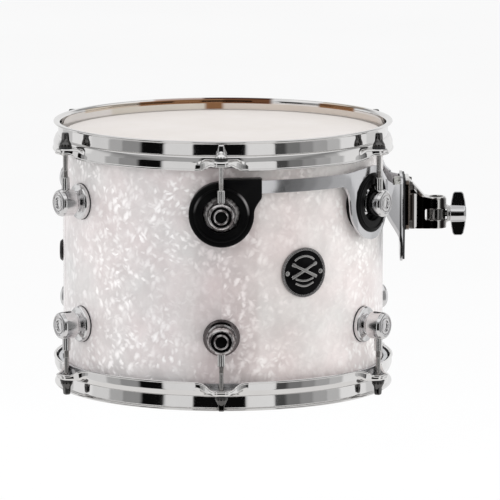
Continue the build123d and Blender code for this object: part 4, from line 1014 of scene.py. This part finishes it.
def bevelled(node, name, width, segments=2, angle=35.0, sharp=32.0):
    """Copy of a CAD node with its square edges broken."""
    obj = copy_of(node, name)
    bm = bmesh.new()
    bm.from_mesh(obj.data)
    bmesh.ops.remove_doubles(bm, verts=bm.verts, dist=1e-6)
    bmesh.ops.dissolve_limit(bm, angle_limit=math.radians(0.6), verts=bm.verts, edges=bm.edges)
    fresh = bpy.data.meshes.new(name)
    bm.to_mesh(fresh)
    bm.free()
    obj.data = fresh
    mod = obj.modifiers.new("bevel", "BEVEL")
    mod.width, mod.segments, mod.limit_method, mod.angle_limit = width, segments, "ANGLE", math.radians(angle)
    mod.use_clamp_overlap = True
    return apply_modifiers(obj, sharp)


def cast(node, name, voxel, smooth, sharp=None, factor=0.5):
    """Copy of a CAD node with the soft edges of a casting."""
    obj = copy_of(node, name)
    mod = obj.modifiers.new("remesh", "REMESH")
    mod.mode, mod.voxel_size, mod.use_smooth_shade = "VOXEL", voxel, True
    sm = obj.modifiers.new("smooth", "SMOOTH")
    sm.factor, sm.iterations = factor, smooth
    return apply_modifiers(obj, sharp)


place(bevelled("suspension_plate", "mount_plate", 0.0007), "drum_body", MAT["plate"], "plate_chrome", "suspension_plate")
place(cast("bracket_body", "clamp_bracket", 0.00055, 5), "drum_body", MAT["bracket"], "bracket_chrome", "bracket_body")
place(cast("wing_nut", "wing_nut_casting", 0.00035, 8), "wing_nut", MAT["nut"], "wing_nut_chrome", "wing_nut")
place(bevelled("clamp_eyebolt", "clamp_eye", 0.0005), "clamp_eyebolt", MAT["eye"], "plated_steel", "clamp_eyebolt")


# ------------------------------------------------------------------ rubber pads
def bent_polar(name, radius_of, rows, angle, bend_r, segs=200, flip_x=False, close_back=None):
    """Surface of rings round a lug: each row gives (share, offset, lift) and is bent to the drum's curve."""
    verts = []
    for share, offset, lift in rows:
        for j in range(segs):
            t = 2 * math.pi * j / segs
            r = (radius_of(t) if share > 0.5 else 0.0) + offset
            x, y = r * math.cos(t), r * math.sin(t)
            if flip_x:
                x = -x
            z = (math.sqrt((bend_r + lift) ** 2 - x * x) if lift > -50 else math.sqrt(152.0**2 - x * x))
            verts.append((x * MM, y * MM, z * MM))
    faces = grid_faces(len(rows), segs, flip=flip_x)
    # join the last row back to the first, so that the pad is one closed ring
    n = len(rows)
    for j in range(segs):
        k = (j + 1) % segs
        q = ((n - 1) * segs + j, (n - 1) * segs + k, k, j)
        faces.append(q[::-1] if flip_x else q)
    m = radial_matrix(angle, LUG_Z)
    v, f = join([(verts, faces, m)])
    return v, f


def comma_radius(t):
    """Outline of an end pad: round, with a block that reaches out towards the arm."""
    t = t % (2 * math.pi)
    dx, dy = math.cos(t), math.sin(t)
    rad = 30.2
    # block: x 0 to 37.4, y 14 to 33.2, with a slanted lower end
    best = rad
    cuts = []
    if dx > 1e-6:
        y_at = dy * (37.4 / dx)
        if 14.6 <= y_at <= 33.2:
            cuts.append(37.4 / dx)
    if dy > 1e-6:
        x_at = dx * (33.2 / dy)
        if 3.0 <= x_at <= 37.4:
            cuts.append(33.2 / dy)
        elif -4.0 <= x_at < 3.0:
            # soft run from the circle up to the block's top
            s = (x_at + 4.0) / 7.0
            cuts.append(rad * (1 - s) + (33.2 / dy) * s)
    slope_deg = math.degrees(math.atan2(dy, dx))
    if 0.0 <= slope_deg <= 22.5:
        s = slope_deg / 22.4
        cuts.append(30.2 + (37.4 / math.cos(math.radians(22.4)) - 30.2) * min(1.0, s) ** 2.4)
    if cuts:
        best = max(best, max(cuts))
    return best


def soften(fn, spread=0.035, n=9):
    """The same outline with its corners rounded a little."""
    def g(t):
        return sum(fn(t + spread * (k - n // 2) / (n // 2)) * (1 - abs(k - n // 2) / (n // 2 + 1)) for k in range(n)) / sum(1 - abs(k - n // 2) / (n // 2 + 1) for k in range(n))
    return g


COMMA = soften(comma_radius)
ROUND = lambda t: 28.0
ridge = [(24.5 + 0.95 * math.cos(a), 0.62 * math.sin(a)) for a in [math.pi * k / 6 for k in range(7)]]


def pad_rows(face_lift=0.0):
    rows = [(1, 0.0, -100), (1, 0.0, face_lift - 6.0), (1, 0.0, face_lift - 1.8)]
    for k in range(1, 6):
        a = math.pi / 2 * k / 5
        rows.append((1, -1.8 * (1 - math.cos(a)), face_lift - 1.8 + 1.8 * math.sin(a)))
    rows.append((1, -2.4, face_lift))
    for r, h in ridge:
        rows.append((0, r, face_lift + h - 0.35 * (1 if h < 0.01 else 0)))
    rows += [(0, 22.9, face_lift - 0.35), (0, 19.4, face_lift - 0.5)]
    for k in range(1, 5):
        a = math.pi / 2 * k / 4
        rows.append((0, 17.2 + 1.0 * (1 - math.sin(a)), face_lift - 0.5 - 1.0 * (1 - math.cos(a))))
    rows += [(0, 17.2, face_lift - 4.0), (0, 17.2, 152.95 - 163.9), (0, 2.0, 152.95 - 163.9), (0, 2.0, -100)]
    return rows


comma_a = bent_polar("pad", COMMA, pad_rows(), 0, 163.9)
comma_b = bent_polar("pad", COMMA, pad_rows(), 180, 163.9, flip_x=True)
v, f = join([(comma_a[0], comma_a[1], Matrix.Identity(4)), (comma_b[0], comma_b[1], Matrix.Identity(4))])
place(new_mesh("comma_pads", v, f, 40), "drum_body", MAT["rubber"], "pad_rubber", "outer_isolation_pads")
round_a = bent_polar("pad", ROUND, pad_rows(0.3), 60, 163.9)
round_b = bent_polar("pad", ROUND, pad_rows(0.3), 120, 163.9)
v, f = join([(round_a[0], round_a[1], Matrix.Identity(4)), (round_b[0], round_b[1], Matrix.Identity(4))])
place(new_mesh("round_pads", v, f, 40), "drum_body", MAT["rubber"], "pad_rubber", "inner_isolation_pads")

# ------------------------------------------------------------------ air vent
vent_prof = rounded([
    (4.2, 144.0, 0.4), (7.2, 144.0, 0.4), (7.2, 145.0, 0.3), (5.9, 145.1, 0.2), (5.9, 151.95, 0.2), (10.3, 152.2, 0.4), (10.3, 152.9, 0.6),
    (8.6, 154.7, 1.2), (5.6, 155.15, 0.9), (4.2, 154.0, 0.7)], steps=4, closed=True)
v, f = lathe([(r * MM, h * MM) for r, h in vent_prof], 72, closed=True)
v, f = join([(v, f, radial_matrix(270, MID_Z))])
place(new_mesh("vent_eyelet", v, f, 35), "drum_body", MAT["vent"], "vent_plastic", "vent_grommet")

# ------------------------------------------------------------------ badge: plated rim, black field, crossed sticks and plain arcs
BADGE_BASE = 151.95


def badge_point(x, y, lift):
    """A badge point at x, y on its face (mm), lift above the covering, bent to the shell."""
    return (x, y, math.sqrt((WRAP_R / MM + lift) ** 2 - x * x))


def badge_rings(rows, segs=120):
    verts = []
    for r, lift in rows:
        for j in range(segs):
            t = 2 * math.pi * j / segs
            x, y, z = badge_point(r * math.cos(t), r * math.sin(t), lift)
            verts.append((x * MM, y * MM, z * MM))
    return verts, segs


def badge_plate_mesh():
    plate_rows = [(23.1, 0.03), (23.2, 0.5), (23.2, 1.5), (23.0, 1.95), (22.5, 2.15), (21.5, 2.15), (20.9, 1.9), (20.6, 1.45)]
    verts, segs = badge_rings(plate_rows)
    faces = grid_faces(len(plate_rows), segs)
    n = len(verts)
    back, _ = badge_rings([(20.6, 0.03)])
    verts += back
    for j in range(segs):
        k = (j + 1) % segs
        faces.append(((len(plate_rows) - 1) * segs + j, (len(plate_rows) - 1) * segs + k, n + k, n + j))
        faces.append((n + j, n + k, k, j))
    return [tuple(v) for v in verts], faces


def badge_field_mesh():
    rows = [(20.65, 0.04), (20.65, 1.35), (20.1, 1.42), (17.0, 1.45), (13.0, 1.45), (9.0, 1.45), (5.0, 1.45), (2.0, 1.45)]
    verts, segs = badge_rings(rows)
    faces = grid_faces(len(rows), segs)
    c = badge_point(0, 0, 1.45)
    verts.append(tuple(q * MM for q in c))
    top = len(verts) - 1
    for j in range(segs):
        faces.append(((len(rows) - 1) * segs + j, (len(rows) - 1) * segs + (j + 1) % segs, top))
    b = badge_point(0, 0, 0.04)
    verts.append(tuple(q * MM for q in b))
    low = len(verts) - 1
    for j in range(segs):
        faces.append((low, (j + 1) % segs, j))
    return verts, faces


def raised_strip(points, widths, lift0=1.3, lift1=1.95, closed=False):
    """A raised bar along a line on the badge's face, with sloping sides."""
    pts = [np.array(q, float) for q in points]
    verts, faces = [], []
    n = len(pts)
    for i, q in enumerate(pts):
        a = pts[(i - 1) % n] if (closed or i > 0) else q
        b = pts[(i + 1) % n] if (closed or i < n - 1) else q
        d = (b - a) / max(1e-9, np.linalg.norm(b - a))
        nx = np.array((-d[1], d[0]))
        w = widths[i] if hasattr(widths, "__len__") else widths
        for off, lift in ((w, lift0), (w, lift1 - 0.18), (w * 0.62, lift1), (-w * 0.62, lift1), (-w, lift1 - 0.18), (-w, lift0)):
            x, y = q + nx * off
            verts.append(tuple(c * MM for c in badge_point(x, y, lift)))
    for i in range(n if closed else n - 1):
        a, b = i * 6, ((i + 1) % n) * 6
        for k in range(6):
            m = (k + 1) % 6
            faces.append((a + k, b + k, b + m, a + m))
    if not closed:
        faces.append(tuple(range(5, -1, -1)))
        faces.append(tuple((n - 1) * 6 + k for k in range(6)))
    return verts, faces


def badge_emblem_mesh():
    parts = []
    eye = Matrix.Identity(4)
    # two crossed sticks, thin at the shoulder and with a bead at the tip
    for s in (1, -1):
        pts, wid = [], []
        for k in range(25):
            t = k / 24
            x, y = s * (-13.2 + 26.4 * t), -4.6 + 13.2 * t
            w = 1.5 - 0.55 * t
            if t > 0.86:
                u = (t - 0.93) / 0.07
                w = 0.95 + 0.75 * math.sqrt(max(0.0, 1 - u * u))
            if t < 0.02:
                w = 1.1
            pts.append((x, y))
            wid.append(w)
        v, f = raised_strip(pts, wid, lift1=1.95 if s > 0 else 2.1)
        parts.append((v, f, eye))
    # plain drum outline under them
    for y0, sag in ((-5.4, 2.3), (-9.6, 3.0)):
        pts = [(-9.5 + 19.0 * k / 20, y0 - sag * math.sin(math.pi * k / 20)) for k in range(21)]
        parts.append((*raised_strip(pts, 0.85), eye))
    # plain arc over them
    pts = [(15.4 * math.cos(math.radians(48 + 84 * k / 30)), 15.4 * math.sin(math.radians(48 + 84 * k / 30))) for k in range(31)]
    parts.append((*raised_strip(pts, 0.85), eye))
    return join(parts)


badge_at = radial_matrix(30, MID_Z)
v, f = join([(*badge_plate_mesh(), badge_at)])
place(new_mesh("badge_rim", v, f, 30), "drum_body", MAT["badge_rim"], "plated_steel", "badge_plate")
v, f = join([(*badge_field_mesh(), badge_at)])
place(new_mesh("badge_field", v, f, 30), "drum_body", MAT["enamel"], "badge_enamel", "badge_plate")
v, f = join([(*badge_emblem_mesh(), badge_at)])
place(new_mesh("badge_emblem", v, f, 30), "drum_body", MAT["badge_metal"], "plated_steel", "badge_plate")
pin_prof = rounded([(0, 148.2), (0.7, 148.2), (0.7, 152.6), (2.4, 152.9, 0.3), (2.2, 153.8, 0.5), (0, 154.1)], steps=4)
pin_v, pin_f = lathe([(r * MM, (h - 0.9) * MM) for r, h in pin_prof], 32)
v, f = join([(pin_v, pin_f, badge_at @ Matrix.Translation((sx, 0, 0))) for sx in (-0.0176, 0.0176)])
place(new_mesh("badge_rivets", v, f, 35), "drum_body", MAT["badge_metal"], "plated_steel", "badge_pins")

# ------------------------------------------------------------------ stage: pale floor, soft light, studio reflections
floor_z = -0.52
fv, ff = [(-30, -30, floor_z), (30, -30, floor_z), (30, 30, floor_z), (-30, 30, floor_z)], [(0, 1, 2, 3)]
floor = new_mesh("floor", fv, ff, None)
fm, fn, fb, fpos = material("pale_floor")
fn.put(fb.inputs["Base Color"], fn.mix(fn.range(fn.noise(fpos, 3.0, 3.0), 0.3, 0.7, 0.0, 1.0), (0.20, 0.20, 0.20), (0.21, 0.21, 0.21)))
fb.inputs["Roughness"].default_value = 0.9
fb.inputs["Specular IOR Level"].default_value = 0.0
fb.inputs["Emission Color"].default_value = (1, 1, 1, 1)
fb.inputs["Emission Strength"].default_value = 0.80
# clear when seen from below, so that the drum's underside can be looked at
see = fn.add("ShaderNodeMixShader")
fn.put(see.inputs[0], fn.add("ShaderNodeNewGeometry").outputs["Backfacing"])
fn.links.new(fb.outputs[0], see.inputs[1])
fn.links.new(fn.add("ShaderNodeBsdfTransparent").outputs[0], see.inputs[2])
fn.links.new(see.outputs[0], next(x for x in fm.node_tree.nodes if x.type == "OUTPUT_MATERIAL").inputs["Surface"])
floor.data.materials.append(fm)
floor.visible_glossy = False


def area(name, loc, target, size, power, size_y=None, glossy=False, col=(1, 1, 1)):
    light = bpy.data.lights.new(name, "AREA")
    light.energy, light.size, light.color = power, size, col
    if size_y:
        light.shape, light.size_y = "RECTANGLE", size_y
    obj = bpy.data.objects.new(name, light)
    obj.location = loc
    obj.rotation_euler = (Vector(target) - Vector(loc)).to_track_quat("-Z", "Y").to_euler()
    obj.visible_glossy = glossy
    bpy.context.scene.collection.objects.link(obj)
    return obj


CENTRE = Vector((0.0, 0.0, MID_Z))
area("key", (-1.6, -2.4, 1.7), CENTRE, 1.8, 15)
area("fill", (2.2, -1.9, 0.9), CENTRE, 1.8, 11)
area("top", (0.2, 0.4, 2.2), CENTRE, 1.8, 12)
area("rim_right", (2.2, 0.4, 0.2), CENTRE, 1.2, 11)
area("rim_left", (-2.2, 0.4, 0.2), CENTRE, 1.2, 11)

world = bpy.data.worlds.new("studio")
bpy.context.scene.world = world
world.use_nodes = True
wn = Nodes(world.node_tree)
for nd in list(wn.nodes):
    wn.nodes.remove(nd)
path = wn.add("ShaderNodeLightPath")
direction = wn.add("ShaderNodeTexCoord").outputs["Generated"]
xyz = wn.add("ShaderNodeSeparateXYZ")
wn.put(xyz.inputs[0], direction)
# azimuth 0 towards the camera (-Y), growing towards +X, as a share of a turn from -180 degrees
az = wn.math("ARCTAN2", xyz.outputs[0], wn.math("MULTIPLY", xyz.outputs[1], -1.0))
azn = wn.range(az, -math.pi, math.pi, 0.0, 1.0)


def deg(d):
    return (d + 180.0) / 360.0


SOFT = 0.6


def blocks(stops):
    """Constant-coloured blocks round the horizon with edges about a degree wide."""
    out = []
    for i, (start, value) in enumerate(stops):
        if i:
            out.append((deg(start - SOFT), stops[i - 1][1]))
        out.append((deg(start + (SOFT if i else 0)), value))
    return out


HORIZON = [(-180, 0.85), (-150, 0.62), (-130, 0.88), (-104, 0.74), (-86, 0.46), (-74, 0.30), (-59, 0.004),
           (-41, 0.80), (-20.5, 0.004), (16.5, 0.84), (37, 0.07)]
HORIZON_2 = [(37, 0.07), (45, 0.20), (56, 0.30), (66, 0.42), (78, 0.55), (90, 0.88), (120, 0.70), (140, 0.92), (165, 0.85)]
ring_a = wn.ramp(azn, blocks(HORIZON))
ring_b = wn.ramp(azn, blocks(HORIZON_2))
ring = wn.mix(wn.range(azn, deg(36.9), deg(37.1), 0.0, 1.0), ring_a, ring_b)
elev = wn.math("ARCSINE", xyz.outputs[2])
up_fac = wn.range(elev, math.radians(20), math.radians(30), 0.0, 1.0, mode="SMOOTHSTEP")
down_fac = wn.range(elev, math.radians(-28), math.radians(-36), 0.0, 1.0, mode="SMOOTHSTEP")
sky = wn.ramp(wn.range(elev, math.radians(20), math.radians(90), 0.0, 1.0), [(0.0, 0.60), (0.06, 0.30), (0.13, 0.24), (0.17, 0.42), (0.25, 0.40), (0.30, 0.92), (0.62, 1.0), (0.66, 0.62), (1.0, 0.75)])
env = wn.mix(up_fac, ring, sky)
env = wn.mix(down_fac, env, (0.82, 0.81, 0.80))
plain = wn.mix(path.outputs["Is Camera Ray"], (0.70, 0.70, 0.71), (0.97, 0.97, 0.97))
final = wn.mix(path.outputs["Is Glossy Ray"], plain, env)
bg = wn.add("ShaderNodeBackground", i_Strength=1.0)
wn.put(bg.inputs["Color"], final)
outw = wn.add("ShaderNodeOutputWorld")
wn.links.new(bg.outputs[0], outw.inputs[0])

scene = bpy.context.scene
scene.view_settings.view_transform = "Standard"
scene.view_settings.look = "None"
scene.cycles.max_bounces = 14
scene.cycles.transparent_max_bounces = 12
scene.cycles.sample_clamp_indirect = 8.0

# camera at the photograph's viewing angle
cam = bpy.data.objects.new("camera", bpy.data.cameras.new("camera"))
scene.collection.objects.link(cam)
scene.camera = cam
AZ, EL, DIST = math.radians(0.3), math.radians(9.0), 5.0
aim = Vector((0.0255, 0.0, MID_Z))
back = Vector((math.sin(AZ) * math.cos(EL), -math.cos(AZ) * math.cos(EL), math.sin(EL)))
cam.location = aim + back * DIST
cam.rotation_euler = (-back).to_track_quat("-Z", "Y").to_euler()
cam.data.sensor_width = 36
cam.data.lens = 36 * DIST / 0.475
cam.data.clip_start, cam.data.clip_end = 0.1, 200
